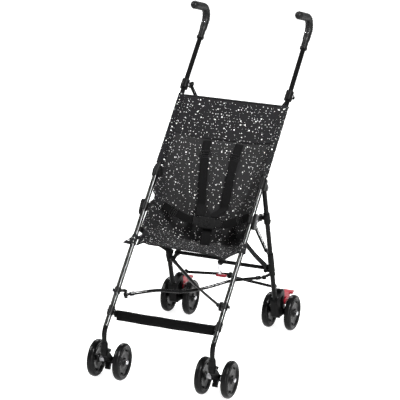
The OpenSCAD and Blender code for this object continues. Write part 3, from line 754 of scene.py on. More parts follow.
class Maker:
    """Puts shells into the scene as pieces on bodies."""

    def __init__(self, finishes: Finishes) -> None:
        """Keeps the finishes for the pieces."""
        self.finishes = finishes

    def piece(
        self,
        name: str,
        shell: Shell,
        body: str,
        material: Material,
        replaces: Sequence[str] = (),
        uv: Optional[Array] = None,
        thick: float = 0.0,
    ) -> Object:
        """Makes one piece and lets it ride.

        Args:
            name: The piece's name.
            shell: Vertices and faces.
            body: Body that carries it.
            material: Its finish.
            replaces: Nodes that it stands for.
            uv: Place in the cloth for each vertex, in metres.
            thick: Wall thickness for a sheet, or 0.

        Returns:
            The object.
        """
        verts, faces = shell
        mesh = bpy.data.meshes.new(name)
        tri = faces[:, 2] == faces[:, 3]
        mesh.from_pydata(verts.tolist(), [], faces[~tri].tolist() + faces[tri][:, :3].tolist())
        mesh.polygons.foreach_set("use_smooth", np.ones(len(mesh.polygons), bool))
        if uv is not None:
            corner = np.zeros(len(mesh.loops), np.int32)
            mesh.loops.foreach_get("vertex_index", corner)
            mesh.uv_layers.new(name="cut").data.foreach_set("uv", uv[corner].astype(np.float32).ravel())
        mesh.materials.append(material)
        made = bpy.data.objects.new(name, mesh)
        bpy.context.scene.collection.objects.link(made)
        if thick:
            self.wall(made, thick)
        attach(made, body)
        if replaces:
            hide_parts(*replaces)
        LOG.info("%s: %d faces on %s", name, len(made.data.polygons), body)
        return made

    @staticmethod
    def wall(made: Object, thick: float) -> None:
        """Gives a sheet its thickness, half to each side, and applies it to the mesh.

        Args:
            made: The sheet.
            thick: Its thickness.
        """
        wall = made.modifiers.new("wall", "SOLIDIFY")
        wall.thickness = thick
        wall.offset = 0.0
        graph = bpy.context.evaluated_depsgraph_get()
        mesh = bpy.data.meshes.new_from_object(made.evaluated_get(graph))
        made.modifiers.clear()
        made.data = mesh

    @staticmethod
    def fold(made: Object) -> Object:
        """Gives a soft piece its own copy of its mesh."""
        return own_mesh(made)


def strip_uv(shell: Shell, path: Array, cols: int, girth: float = 0.06) -> Array:
    """UV of a carried band: the way round its section, taken as girth, by the length along its path.

    Args:
        shell: The band's vertices and faces.
        path: Its middle line.
        cols: Points in its section.
        girth: Length of the way round.

    Returns:
        A pair for each vertex, with zeros at the middles of the ends.
    """
    around = np.linspace(0, girth, cols)[None, :]
    uv = np.stack(np.broadcast_arrays(around, run_along(path)[:, None]), -1).reshape(-1, 2)
    return np.vstack([uv, np.zeros((len(shell[0]) - len(uv), 2))])


@dataclass
class SeatCloth:
    """The hung cloth seat with its upper panel, hems, sleeves, corner loops and stays.

    Places are lengths along the main tubes; a row's share runs from the front hem at 0 to the top hem at 1.
    A held place is its middle and half length. A stay's end lies across, along and behind its tube or leg.
    """

    front: float = 0.304
    crease: float = 0.434
    top: float = 0.876
    depth: float = 0.170
    hollow: float = 0.042
    rim: float = 0.002
    turn: float = 0.34
    edge: float = 0.1715
    slack_left: float = 0.0085
    slack_right: float = 0.0025
    held_left: tuple[tuple[float, float], ...] = ((0.497, 0.015), (0.361, 0.018))
    held_right: tuple[float, float] = (0.394, 0.024)
    fade: float = 0.014
    sleeve: float = 0.262
    sleeve_uv: float = 0.21
    wrap: float = 0.0103
    loop_end: float = 0.324
    loop_point: float = 0.0235
    loop_uv: float = 0.23
    corner_rise: float = 0.034
    thick: float = 0.0022
    panel_rows: tuple[float, float] = (0.795, 0.992)
    panel_half: float = 0.985
    panel_thick: float = 0.0016
    panel_front: float = 0.0014
    panel_uv: float = 0.37
    top_hem: float = 0.0042
    front_hem: float = 0.0024
    stay_size: tuple[float, float] = (0.018, 0.0022)
    stay_front: Triple = (0.182, 0.376, 0.0115)
    stay_rear: Triple = (0.1655, 0.308, -0.004)
    stay_keep: float = 0.4

    def row(self, t: Array) -> tuple[Array, Array]:
        """A row's place and depth.

        The seat drops from the rim to the crease almost evenly; the back climbs from there to the rim
        again along a hollow half sine.

        Args:
            t: The row's share.

        Returns:
            Place along the tube and depth behind it.
        """
        k = (t - self.turn) / (1 - self.turn)
        low = t < self.turn
        on_seat = self.front + (self.crease - self.front) * t / self.turn
        on_back = self.crease + (self.top - self.crease) * k
        seat = self.rim + (self.depth - self.rim) * np.power(np.clip(t / self.turn, 0, 1), 0.92)
        bow = (self.hollow - self.depth * 0.5) * np.sin(np.pi * np.clip(k, 0, 1)) * 0.75
        back = self.depth + (self.rim - self.depth) * k + bow
        return np.where(low, on_seat, on_back), np.where(low, seat, back)

    def reach(self, s: Array, u: Array) -> Array:
        """Half width of the cloth: full where a sleeve or loop holds it, slack or caught between.

        Args:
            s: Place along the tube.
            u: Place across, from -1 to 1.

        Returns:
            Half widths.
        """
        under_sleeve = 1 - ease((s - self.top + self.sleeve + 0.012) / self.fade)
        between = under_sleeve * ease((s - self.loop_end) / self.fade)
        upper, lower = (bell(s, *place, 4) for place in self.held_left)
        left = self.slack_left - 0.0130 * (0.8 * upper + lower)
        right = self.slack_right - 0.0085 * bell(s, *self.held_right, 4)
        return self.edge + between * np.where(u > 0, right, left)

    def scallop(self, u: Array) -> Array:
        """How far the front hem is drawn up the tubes: an uneven edge that is highest at the right corner.

        Args:
            u: Place across, from -1 to 1.

        Returns:
            Lengths along the tubes.
        """
        left = [(-1.0, 0.008), (-0.875, 0.021), (-0.75, 0.017), (-0.5, 0.017), (0.0, 0.015)]
        right = [(0.25, 0.0145), (0.5, 0.011), (0.65, 0.009), (0.76, 0.004), (0.875, 0.019)]
        line = smooth_path(np.array([*left, *right, (1.0, self.corner_rise)]), 240)
        return np.interp(u, line[:, 0], line[:, 1])

    def point(self, t: float | Array, u: float | Array, o: float | Array, fine: float = 1.0) -> Array:
        """Point on the cloth.

        Rows hang between the tubes on a flat-bottomed curve, with main folds and fine creases.

        Args:
            t: The row's share.
            u: Place across, from -1 to 1.
            o: Offset behind the front face.
            fine: Share of the fine creases.

        Returns:
            Points.
        """
        t, u = np.broadcast_arrays(np.asarray(t, float), np.asarray(u, float))
        s, depth = self.row(t)
        v = np.abs(u)
        inside = np.sin(np.pi * t)
        hang = 1 - v**5
        fold = 0.004 * np.sin(np.radians(900 * t + 260 * v)) * (1 - v**6) * inside * v
        ripple = np.sin(41 * t + 7 * u + 3 * np.sin(9 * u)) * np.sin(17 * u + 5 * t)
        crease = 0.0009 * ripple * (1 - v**4) * inside
        pull = 0.0016 * np.sin(52 * (u * 0.6 + t)) * bell(t, 0.52, 0.12) * v**2 * (1 - v**6)
        drawn = self.scallop(u) * np.maximum(0, 1 - t / self.turn) ** 1.3
        sunk = self.rim + 0.1 * depth + (depth * 0.9 - self.rim) * hang
        return tube_point(u * self.reach(s, u), s + drawn, sunk + fold + fine * (crease + pull) + o)

    def sheet(self, t: Array, u: Array, o: float) -> tuple[Shell, Array]:
        """Grid of the cloth with its cut's UV.

        Args:
            t: Rows.
            u: Columns.
            o: Offset behind the front face.

        Returns:
            The shell and its UV in metres.
        """
        grid = self.point(t[:, None], u[None, :], o)
        run = np.cumsum(np.r_[np.zeros((1, len(u))), np.linalg.norm(np.diff(grid, axis=0), axis=-1)], axis=0)
        wide = np.cumsum(np.c_[np.zeros(len(t)), np.linalg.norm(np.diff(grid, axis=1), axis=-1)], axis=1)
        wide = wide - wide[:, len(u) // 2 : len(u) // 2 + 1]
        uv = np.stack([wide, np.broadcast_to(run.mean(1)[:, None], wide.shape)], -1)
        return (grid.reshape(-1, 3), quads(len(t), len(u), False)), uv.reshape(-1, 2)

    def build(self, maker: Maker) -> None:
        """Makes the seat, its upper panel, hems, sleeves, corner loops and stays.

        Args:
            maker: Puts pieces into the scene.
        """
        f = maker.finishes
        shell, uv = self.sheet(np.linspace(0, 1, 190), np.linspace(-1, 1, 150), self.rim)
        nodes = ["seat_base", "seat_back"]
        seat = maker.piece("seat_cloth", shell, "frame_left", f.cloth, nodes, uv, self.thick)
        rows, cols = np.linspace(*self.panel_rows, 60), np.linspace(-self.panel_half, self.panel_half, 120)
        (verts, faces), uv = self.sheet(rows, cols, -self.panel_front)
        shell = (verts + self.bulge(uv), faces)
        at = uv + self.panel_uv
        panel = maker.piece(
            "seat_upper_panel", shell, "frame_left", f.cloth, (), at, self.panel_thick
        )
        hems = [self.hem(maker, "seat_top_hem", 1.0, self.top_hem)]
        hems.append(self.hem(maker, "seat_front_hem", 0.0, self.front_hem))
        for made in [seat, panel, *hems]:
            maker.fold(made)
        for side in Side:
            self.sleeve_round(maker, side)
            self.loop(maker, side)
            self.stay(maker, side)

    def hem(self, maker: Maker, name: str, t: float, radius: float) -> Object:
        """A rolled binding along row t.

        Args:
            maker: Puts pieces into the scene.
            name: The piece's name.
            t: The row's share.
            radius: Half the roll's thickness.

        Returns:
            The object.
        """
        u = np.linspace(-1, 1, 121)
        path = self.point(np.full_like(u, t), u, self.rim, 0.0)
        section = ring_section(radius, 14)
        shell = carry(path, Y_AXIS, section)
        uv = strip_uv(shell, path, len(section))
        return maker.piece(name, shell, "frame_left", maker.finishes.binding, (), uv)

    @staticmethod
    def bulge(uv: Array) -> Array:
        """Small forward bulge at the upper panel's lower edge, which dies away up the panel."""
        low = np.exp(-uv[:, 1] / 0.02)[:, None]
        return low * 0.0012 * TUBE_FRONT

    def sleeve_round(self, maker: Maker, side: Side) -> None:
        """The long sleeve round one tube: a rippled ring with a seam ridge where the seat leaves it.

        Args:
            maker: Puts pieces into the scene.
            side: The tube's side.
        """
        s = np.linspace(self.top - self.sleeve, self.top, 90)
        a = turns(40)
        wave = 0.0003 * np.sin(150 * s[:, None] + 2 * a) + 0.0002 * np.sin(320 * s[:, None] - 3 * a)
        ends = 0.0005 * (bell(s, s[0], 0.004) + bell(s, s[-1], 0.004))[:, None]
        k = (s - self.crease) / (self.top - self.crease)
        depth = self.row(self.turn + k * (1 - self.turn))[1]
        lean = np.arctan2(0.004 + 0.1 * depth, -0.015 * side.value)[:, None]
        seam = 0.0075 * np.maximum(0, np.cos(a - lean)) ** 12
        section = ring_section(1.0, len(a))[None] * (self.wrap + wave + ends + seam)[..., None]
        path = tube_point(side.value * HALF_TRACK, s)
        shell = carry(path, X_AXIS, section)
        uv = strip_uv(shell, path, len(a)) + side.value * self.sleeve_uv
        name, nodes = f"sleeve_cloth_{side.word}", [f"sleeve_{side.word}"]
        maker.piece(name, shell, f"frame_{side.word}", maker.finishes.cloth, nodes, uv)

    def loop(self, maker: Maker, side: Side) -> None:
        """The front corner's loop round one tube, drawn to a point on its outer side.

        Args:
            maker: Puts pieces into the scene.
            side: The tube's side.
        """
        rise, point = (self.corner_rise, 0.004) if side is Side.RIGHT else (0.012, self.loop_point)
        s = np.linspace(self.front - 0.004, self.loop_end + 0.008, 40) + rise
        a = turns(40)
        tip = point * (1 - ease((s - s[0]) / (s[-1] - s[0]))) ** 1.2
        out = np.maximum(0, np.cos(a))[None] ** 10 * tip[:, None]
        narrow = self.wrap - 0.0035 * out / self.loop_point
        section = np.stack([np.cos(a) * (self.wrap + out), np.sin(a) * narrow], -1)
        path = tube_point(side.value * HALF_TRACK, s)
        shell = carry(path, side.value * X_AXIS, section)
        uv = strip_uv(shell, path, len(a)) + self.loop_uv
        name = f"corner_loop_{side.word}"
        maker.piece(name, shell, f"frame_{side.word}", maker.finishes.cloth, (), uv)

    def stay(self, maker: Maker, side: Side) -> None:
        """A webbing stay from the front corner back to the rear leg.

        Args:
            maker: Puts pieces into the scene.
            side: The tube's side.
        """
        start = tube_point(*self.stay_front) * side.flip
        end = leg_point(*self.stay_rear) * side.flip
        path = smooth_path(np.vstack([start, (start + end) / 2 + [0, 0, -0.004], end]), 50)
        section = band_section(*self.stay_size)
        shell = carry(path, np.cross(unit(end - start), X_AXIS), section)
        uv = strip_uv(shell, path, len(section))
        name, body = f"seat_stay_{side.word}", f"frame_{side.word}"
        made = maker.piece(name, shell, body, maker.finishes.webbing, (), uv)
        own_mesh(made)


@dataclass
class Slider:
    """A three-bar slide round a strap: a rounded frame of wire and its middle bars."""

    half_wide: float = 0.0162
    half_long: float = 0.0105
    wire: float = 0.0018
    bar: float = 0.0017
    bar_half: float = 0.0155
    bars: tuple[float, float] = (-0.002, 0.0045)
    lift: float = 0.0012
    bar_lift: float = 0.0008

    def shell(self, centre: Array, along: Array, across: Array) -> Shell:
        """The slide's surface: a wire along a superellipse, and straight bars across it.

        Args:
            centre: Its middle, on the strap.
            along: The strap's direction.
            across: The strap's width direction.

        Returns:
            Vertices and faces.
        """
        side = unit(across - along * np.dot(across, along))
        face = np.cross(along, side)
        front = face * (-1 if face[1] > 0 else 1)
        a = turns(60)[:, None]
        lifted = centre + front * self.lift
        x = bent(np.cos(a), 0.25) * self.half_wide
        y = bent(np.sin(a), 0.25) * self.half_long
        shells = [carry(lifted + x * side + y * along, front, ring_section(self.wire, 12), True)]
        run = np.linspace(-self.bar_half, self.bar_half, 8)[:, None]
        for place in self.bars:
            bar = lifted + run * side + along * place + front * self.bar_lift
            shells.append(carry(bar, front, ring_section(self.bar, 12)))
        return together(shells)


@dataclass
class Buckle:
    """The harness buckle: a block with two side prongs and a push button."""

    lean: float = math.radians(-12)
    block: Triple = (0.057, 0.0125, 0.040)
    prong: Triple = (0.024, 0.0085, 0.027)
    prong_at: float = 0.0375
    collar: Triple = (0.004, 0.0105, 0.029)
    collar_at: float = 0.0465
    raised: float = 0.002
    button_front: float = 0.0074
    button: tuple[tuple[float, float], ...] = (
        (0.0004, 0.0002), (0.004, 0.0), (0.0072, 0.0005), (0.0088, 0.0013),
        (0.0097, 0.0010), (0.0100, 0.0002), (0.0100, -0.004),
    )

    def build(self, maker: Maker, mid: Array) -> None:
        """Makes the buckle and its button, both turned back by the lean.

        Args:
            maker: Puts pieces into the scene.
            mid: The block's middle.
        """
        c, s = math.cos(self.lean), math.sin(self.lean)
        turn = np.array([[1, 0, 0], [0, c, -s], [0, s, c]])
        shells = [pillow(self.block, 0.28, turn, mid, (24, 56))]
        for m in (-1, 1):
            prong = mid + turn @ np.array([m * self.prong_at, 0, self.raised])
            collar = mid + turn @ np.array([m * self.collar_at, 0, self.raised])
            shells.append(pillow(self.prong, 0.25, turn, prong, (20, 40)))
            shells.append(pillow(self.collar, 0.3, turn, collar, (16, 32)))
        clasp = maker.finishes.clasp
        maker.piece("harness_buckle", together(shells), "buckle", clasp, ["buckle_body"])
        front = turn @ -Y_AXIS
        disc = spin(np.array(self.button), mid + front * self.button_front, front, 40)
        maker.piece("harness_button", disc, "button", clasp, ["buckle_button"])


@dataclass
class Harness:
    """Webbing, sliders and buckle of the five-point harness, hung in front of the seat.

    The shoulder straps part towards the top: across the seat they lie at shoulder_at in row shoulder_row,
    and shoulder_lean further out for each row.
    """

    seat: SeatCloth
    width: float = 0.025
    shoulder_share: float = 1.14
    shoulder_at: float = 0.222
    shoulder_row: float = 0.475
    shoulder_lean: float = 0.345
    crotch_width: float = 0.033
    thick: float = 0.0024

    def middle(self) -> Array:
        """The buckle's middle."""
        return self.seat.point(0.44, 0.0, -0.0065, 0.0) + np.array([0, -0.038, -0.004])

    def build(self, maker: Maker) -> None:
        """Makes the straps, sliders and buckle.

        Args:
            maker: Puts pieces into the scene.
        """
        for side in Side:
            self.shoulder(maker, side)
            self.waist(maker, side)
        self.crotch(maker)
        Buckle().build(maker, self.middle())

    def ribbon(
        self, maker: Maker, name: str, points: Array, across: Array, width: float, replaces: Sequence[str]
    ) -> None:
        """A webbing band along a smooth line.

        Args:
            maker: Puts pieces into the scene.
            name: The piece's name.
            points: Points that the band's middle passes.
            across: Direction of the band's width.
            width: The band's width.
            replaces: Nodes that it stands for.
        """
        path = smooth_path(points, 90)
        section = band_section(width, self.thick)
        shell = carry(path, across, section)
        uv = strip_uv(shell, path, len(section))
        maker.fold(maker.piece(name, shell, "frame_left", maker.finishes.webbing, replaces, uv))

    @staticmethod
    def slide(maker: Maker, name: str, pair: Array, across: Array, replaces: Sequence[str]) -> None:
        """A slider on a strap.

        Args:
            maker: Puts pieces into the scene.
            name: The piece's name.
            pair: The slider's middle and the strap's next point.
            across: The strap's width direction.
            replaces: Nodes that it stands for.
        """
        shell = Slider().shell(pair[0], unit(pair[1] - pair[0]), across)
        maker.fold(maker.piece(name, shell, "frame_left", maker.finishes.clasp, replaces))

    def shoulder(self, maker: Maker, side: Side) -> None:
        """One shoulder strap with its slider, from the upper panel's edge down the back to the buckle.

        Args:
            maker: Puts pieces into the scene.
            side: The strap's side.
        """
        mid = self.middle()
        first = side is Side.LEFT
        t = np.array([0.785, 0.75, 0.7145, 0.66, 0.605, 0.55, 0.51, 0.482])
        lift = np.array([0.0, 0.003, 0.0055, 0.0055, 0.0055, 0.006, 0.007, 0.010])
        across = self.shoulder_at + self.shoulder_lean * (t - self.shoulder_row)
        back = self.seat.point(t, across, -lift - 0.0008, 0.0)
        line = np.vstack([back, mid + [0.0255, 0.012, 0.030], mid + [0.0245, 0.001, 0.0206]]) * side.flip
        nodes = ["shoulder_straps"] if first else ()
        width = self.width * self.shoulder_share
        self.ribbon(maker, f"shoulder_strap_{side.word}", line, X_AXIS, width, nodes)
        nodes = ["strap_sliders"] if first else ()
        self.slide(maker, f"shoulder_slider_{side.word}", line[2:4], X_AXIS, nodes)

    def waist(self, maker: Maker, side: Side) -> None:
        """One waist strap with its slider, from the seat's side to the buckle's prong.

        Args:
            maker: Puts pieces into the scene.
            side: The strap's side.
        """
        out = self.seat.point(0.427, 0.86, -0.0065, 0.0) + np.array([0, -0.0052, 0.0072])
        inner = self.middle() + [0.0523, 0.0, 0.002]
        third = out + (inner - out) * 0.35 + [0, 0.001, -0.003]
        line = np.vstack([out, third, inner + [0.012, 0, 0.0005], inner]) * side.flip
        up = np.array([0.0, 0.25, 1.0])
        nodes = ["waist_straps"] if side is Side.LEFT else ()
        self.ribbon(maker, f"waist_strap_{side.word}", line, up, self.width, nodes)
        self.slide(maker, f"waist_slider_{side.word}", line[1:3], up, ())

    def crotch(self, maker: Maker) -> None:
        """The crotch strap, from the buckle down to the seat.

        Args:
            maker: Puts pieces into the scene.
        """
        low = self.seat.point(0.27, 0.0, -0.0017, 0.0)
        start = self.middle() + [0.0, 0.004, -0.020]
        between = start * 0.6 + low * 0.4 + [0, -0.004, 0.0]
        line = np.vstack([start, between, low + [0, -0.002, 0.002], low])
        self.ribbon(maker, "crotch_webbing", line, X_AXIS, self.crotch_width, ["crotch_strap"])


@dataclass
class Wheel:
    """One wheel: rounded tyre, rim lip, dished web with short slots and hub.

    The hub's and lip's points are radius and depth below the wheel's face.
    """

    radius: float = WHEEL_RADIUS
    half: float = 0.012
    tyre: float = 0.010
    hub: tuple[tuple[float, float], ...] = (
        (0.0041, 0.0008), (0.0052, 0.0), (0.0105, 0.0), (0.0124, 0.0004), (0.0132, 0.0016), (0.0140, 0.0044),
    )
    web: tuple[float, float] = (0.0150, 0.0405)
    web_depth: float = 0.0050
    lip: tuple[tuple[float, float], ...] = (
        (0.0415, 0.0046), (0.0428, 0.0028), (0.0440, 0.0012), (0.0455, 0.0006),
        (0.0468, 0.0010), (0.0474, 0.0022), (0.0482, 0.0022),
    )
    slots: int = 6
    slot_at: float = 0.0375
    slot_half: float = 0.0028
    slot_angle: float = 0.2
    slot_depth: float = 0.0045
    dish: float = 0.0012
    dish_run: float = 0.018

    def outline(self) -> Array:
        """Radius and height from hub to hub over the tyre, whose edge is an arc.

        Returns:
            Radius and height pairs.
        """
        arc = np.radians(np.linspace(78, 0, 14))
        web = np.linspace(*self.web, 26)
        below = np.vstack([self.hub, np.stack([web, np.full_like(web, self.web_depth)], -1), self.lip])
        edge = np.stack([self.radius - self.tyre * (1 - np.cos(arc)), self.tyre * (1 - np.sin(arc))], -1)
        face = np.array([0.0, self.half]) + np.vstack([below, edge]) * [1.0, -1.0]
        return np.vstack([face, face[::-1] * [1.0, -1.0]])

    def press(self, r: Array, a: Array) -> Array:
        """Short curved slots near the rim and a shallow dish inside them.

        Args:
            r: Radius of each point.
            a: Angle of each point.

        Returns:
            Change of height, inwards on both faces.
        """
        step = 2 * np.pi / self.slots
        local = np.abs((a + step / 2) % step - step / 2)
        off = np.hypot(r - self.slot_at, np.maximum(0, local - self.slot_angle) * self.slot_at)
        slot = self.slot_depth * ease((self.slot_half - off) / 0.0012)
        dish = self.dish * np.sin(np.pi * np.clip((r - self.web[0]) / self.dish_run, 0, 1))
        on_web = (r > self.web[0] - 0.0005) & (r < self.web[1] + 0.0005)
        inwards = np.where(np.arange(len(r))[:, None] < len(r) // 2, -1.0, 1.0)
        return np.where(on_web, slot + dish, 0.0) * inwards

    def build(self, maker: Maker, node_name: str) -> None:
        """Makes the wheel where its node is.

        Args:
            maker: Puts pieces into the scene.
            node_name: The node that it stands for, with the same body name.
        """
        low, high = (np.array(v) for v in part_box(node_name))
        shell = spin(self.outline(), (low + high) / 2, X_AXIS, 120, self.press)
        maker.piece(f"{node_name}_tyre", shell, node_name, maker.finishes.gloss, [node_name])


@dataclass
class Grip:
    """One hooked push grip: lip, smooth sleeve and a knurled hand part.

    Places of the lip, step and hand part are from its lower end; those of its end, bead and rounding
    are from its tip.
    """

    start: float = 1.096
    bend_at: float = 1.160
    bend_r: float = 0.034
    turn: float = math.radians(119)
    straight: float = 0.088
    tip: float = 0.0105
    radius: float = 0.0108
    lip: float = 0.0016
    lip_end: float = 0.0075
    step: float = 0.0017
    step_at: float = 0.031
    hand_at: float = 0.066
    hand_end: float = 0.016
    ridge: float = 0.0012
    ridges: int = 9
    pitch: float = 520.0
    bead: float = 0.0011
    bead_at: float = 0.0145
    round_at: float = 0.0115

    def line(self) -> Array:
        """The grip's middle line in Y and Z: straight, arc, straight.

        Returns:
            Points, evenly spaced by length.
        """
        up = BEND + TUBE_DIR * np.linspace(self.start, self.bend_at, 40, endpoint=False)[:, None]
        middle = BEND + TUBE_DIR * self.bend_at - TUBE_BACK * self.bend_r
        first = TUBE_ANGLE - np.pi / 2
        a = first + np.linspace(0, self.turn, 60, endpoint=False)
        arc = middle + self.bend_r * np.stack([np.cos(a), np.sin(a)], -1)
        end = first + self.turn
        outward = np.array([math.cos(end), math.sin(end)])
        onward = np.array([-math.sin(end), math.cos(end)])
        out = middle + self.bend_r * outward + np.linspace(0, self.straight + self.tip, 90)[:, None] * onward
        return resample(np.vstack([up, arc, out]), 300)

    def build(self, maker: Maker, side: Side) -> None:
        """Makes one grip.

        Radius along the grip steps from lip to sleeve to hand part and closes in a round tip;
        crossed sine ridges make the knurling.

        Args:
            maker: Puts pieces into the scene.
            side: The grip's side.
        """
        flat = self.line()
        path = np.c_[np.full(len(flat), side.value * HALF_TRACK), flat]
        run = run_along(path)[:, None]
        left = run - run[-1, 0]
        a = turns(64)[None, :]
        lip = self.lip * (ease(run / 0.001) - ease((run - self.lip_end) / 0.002))
        step = self.step * ease((run - self.step_at) / 0.012)
        hand = ease((run - self.hand_at) / 0.006) * (1 - ease((left + self.hand_end) / 0.004))
        up, down = (np.maximum(0, np.sin(self.ridges * a + way * run * self.pitch)) for way in (1, -1))
        bead = self.bead * bell(left, -self.bead_at, 0.0022)
        radius = self.radius + lip + step + hand * (0.0002 + self.ridge * up * down) + bead
        over = np.maximum(left + self.round_at, 0) / (self.round_at + 0.0001)
        tip = np.sqrt(np.clip(1 - over**2, 0.0005, 1))
        section = np.stack([np.cos(a) + 0 * run, np.sin(a) + 0 * run], -1) * (radius * tip)[..., None]
        shell = carry(path, X_AXIS, section)
        name, body, nodes = f"grip_{side.word}", f"frame_{side.word}", [f"handle_grip_{side.word}"]
        maker.piece(name, shell, body, maker.finishes.rubber, nodes)


@dataclass
class LowerBrace:
    """The crossed lower struts.

    The front pivot is given along and behind a main tube, the rear one along and behind a rear leg.
    """

    half: float = 0.162
    front: tuple[float, float] = (0.145, 0.024)
    rear: tuple[float, float] = (0.335, -0.019)
    layer: float = 0.007
    cross_height: float = 0.229
    cross_gap: float = 0.0075
    keep: float = 0.528
    steps: int = 120
    collar: float = 0.0068
    eye: tuple[tuple[float, float], ...] = (
        (0.0032, 0.0055), (0.0062, 0.0062), (0.0072, 0.0045),
        (0.0072, -0.0045), (0.0062, -0.0062), (0.0032, -0.0055),
    )

    def ends(self, side: Side) -> tuple[Array, Array]:
        """The strut's front and rear pivots; the right strut lies a layer higher.

        Args:
            side: Side of its front pivot.

        Returns:
            The two points.
        """
        front = tube_point(self.half, *self.front) * side.flip
        rear = leg_point(-self.half, *self.rear) * side.flip
        higher = self.layer if side is Side.RIGHT else 0.0
        return front + [0, 0, higher], rear + [0, 0, self.layer * side.value]

    def rod(self, side: Side, a: Array, b: Array) -> tuple[Array, Array]:
        """The rod's line and radius: the left rod bows in a smooth curve, the right one steps to thin.

        Args:
            side: Side of its front pivot.
            a: Its front pivot.
            b: Its rear pivot.

        Returns:
            Points along the middle and the radius at each.
        """
        mid = np.array([0, (a[1] + b[1]) / 2, self.cross_height + self.cross_gap * side.value])
        if side is Side.RIGHT:
            radius = 0.0045 + 0.0015 * ease((np.arange(self.steps) - 57) / 3)
            return smooth_path(np.vstack([a, mid, b]), self.steps), radius
        share = np.array([0.22, 0.38, 0.62, 0.76])[:, None]
        bow = np.array([0.001, -0.013, -0.008, 0.002])[:, None] * Z_AXIS
        wave = a + share * (b - a) + bow
        path = smooth_path(np.vstack([a, wave[:2], mid, wave[2:], b]), self.steps)
        return path, np.full(self.steps, 0.0052)

    def build(self, maker: Maker, side: Side) -> None:
        """Makes one strut: a rod that is pressed flat near its ends, with an eye and a collar at each.

        Args:
            maker: Puts pieces into the scene.
            side: Side of its front pivot.
        """
        a, b = self.ends(side)
        path, radius = self.rod(side, a, b)
        across = np.array([1.0, 0.6, 0.0]) * side.flip
        last = self.steps - 1
        near = np.minimum(np.arange(self.steps), last - np.arange(self.steps)) / last
        flat = 1 - 0.45 * (1 - ease(near / 0.045))
        section = ring_section(1.0)[None] * radius[:, None, None] * np.stack([2 - flat, flat], -1)[:, None, :]
        shells = [carry(path, across, section)]
        for end, way in ((a, unit(path[6] - path[0])), (b, unit(path[-7] - path[-1]))):
            shells.append(spin(np.array(self.eye), end, np.array([0.15 * side.value, 0.1, 1.0]), 28))
            collar = end + way * np.linspace(0.016, 0.030, 10)[:, None]
            shells.append(carry(collar, across, ring_section(self.collar, 20)))
        name, body, brace = (f"{word}_{side.word}" for word in ("lower_strut", "lower_bar", "lower_brace"))
        made = maker.piece(name, together(shells), body, maker.finishes.enamel, [brace])
        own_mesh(made)


@dataclass
class Footrest:
    """Cloth band across the two foot brackets: a flat tube of webbing with hemmed edges."""

    place: float = 0.072
    behind: float = 0.026
    half: float = 0.1702
    height: float = 0.034
    sag: float = 0.0016
    thin: float = 0.0026
    roll: float = 0.0022
    roll_at: float = 0.0095

    def build(self, maker: Maker) -> None:
        """Makes the band with a soft sag and a rolled edge along its top and bottom.

        Args:
            maker: Puts pieces into the scene.
        """
        x = np.linspace(-self.half, self.half, 160)
        path = tube_point(x, self.place, self.behind)
        path[:, 2] -= self.sag * (1 - (x / self.half) ** 2) + 0.0004 * np.sin(60 * x)
        a = turns(64)
        up = bent(np.sin(a), 0.6) * self.height / 2
        bulge = self.thin + self.roll * ease((np.abs(up) - self.roll_at) / 0.004) + 0.0004 * np.cos(3 * a)
        section = np.stack([bent(np.cos(a), 0.5) * bulge, up], -1)
        shell = carry(path, Y_AXIS, section)
        uv = strip_uv(shell, path, len(a))
        webbing, nodes = maker.finishes.webbing, ["footrest_band"]
        made = maker.piece("footrest_cloth", shell, "frame_left", webbing, nodes, uv)
        maker.fold(made)


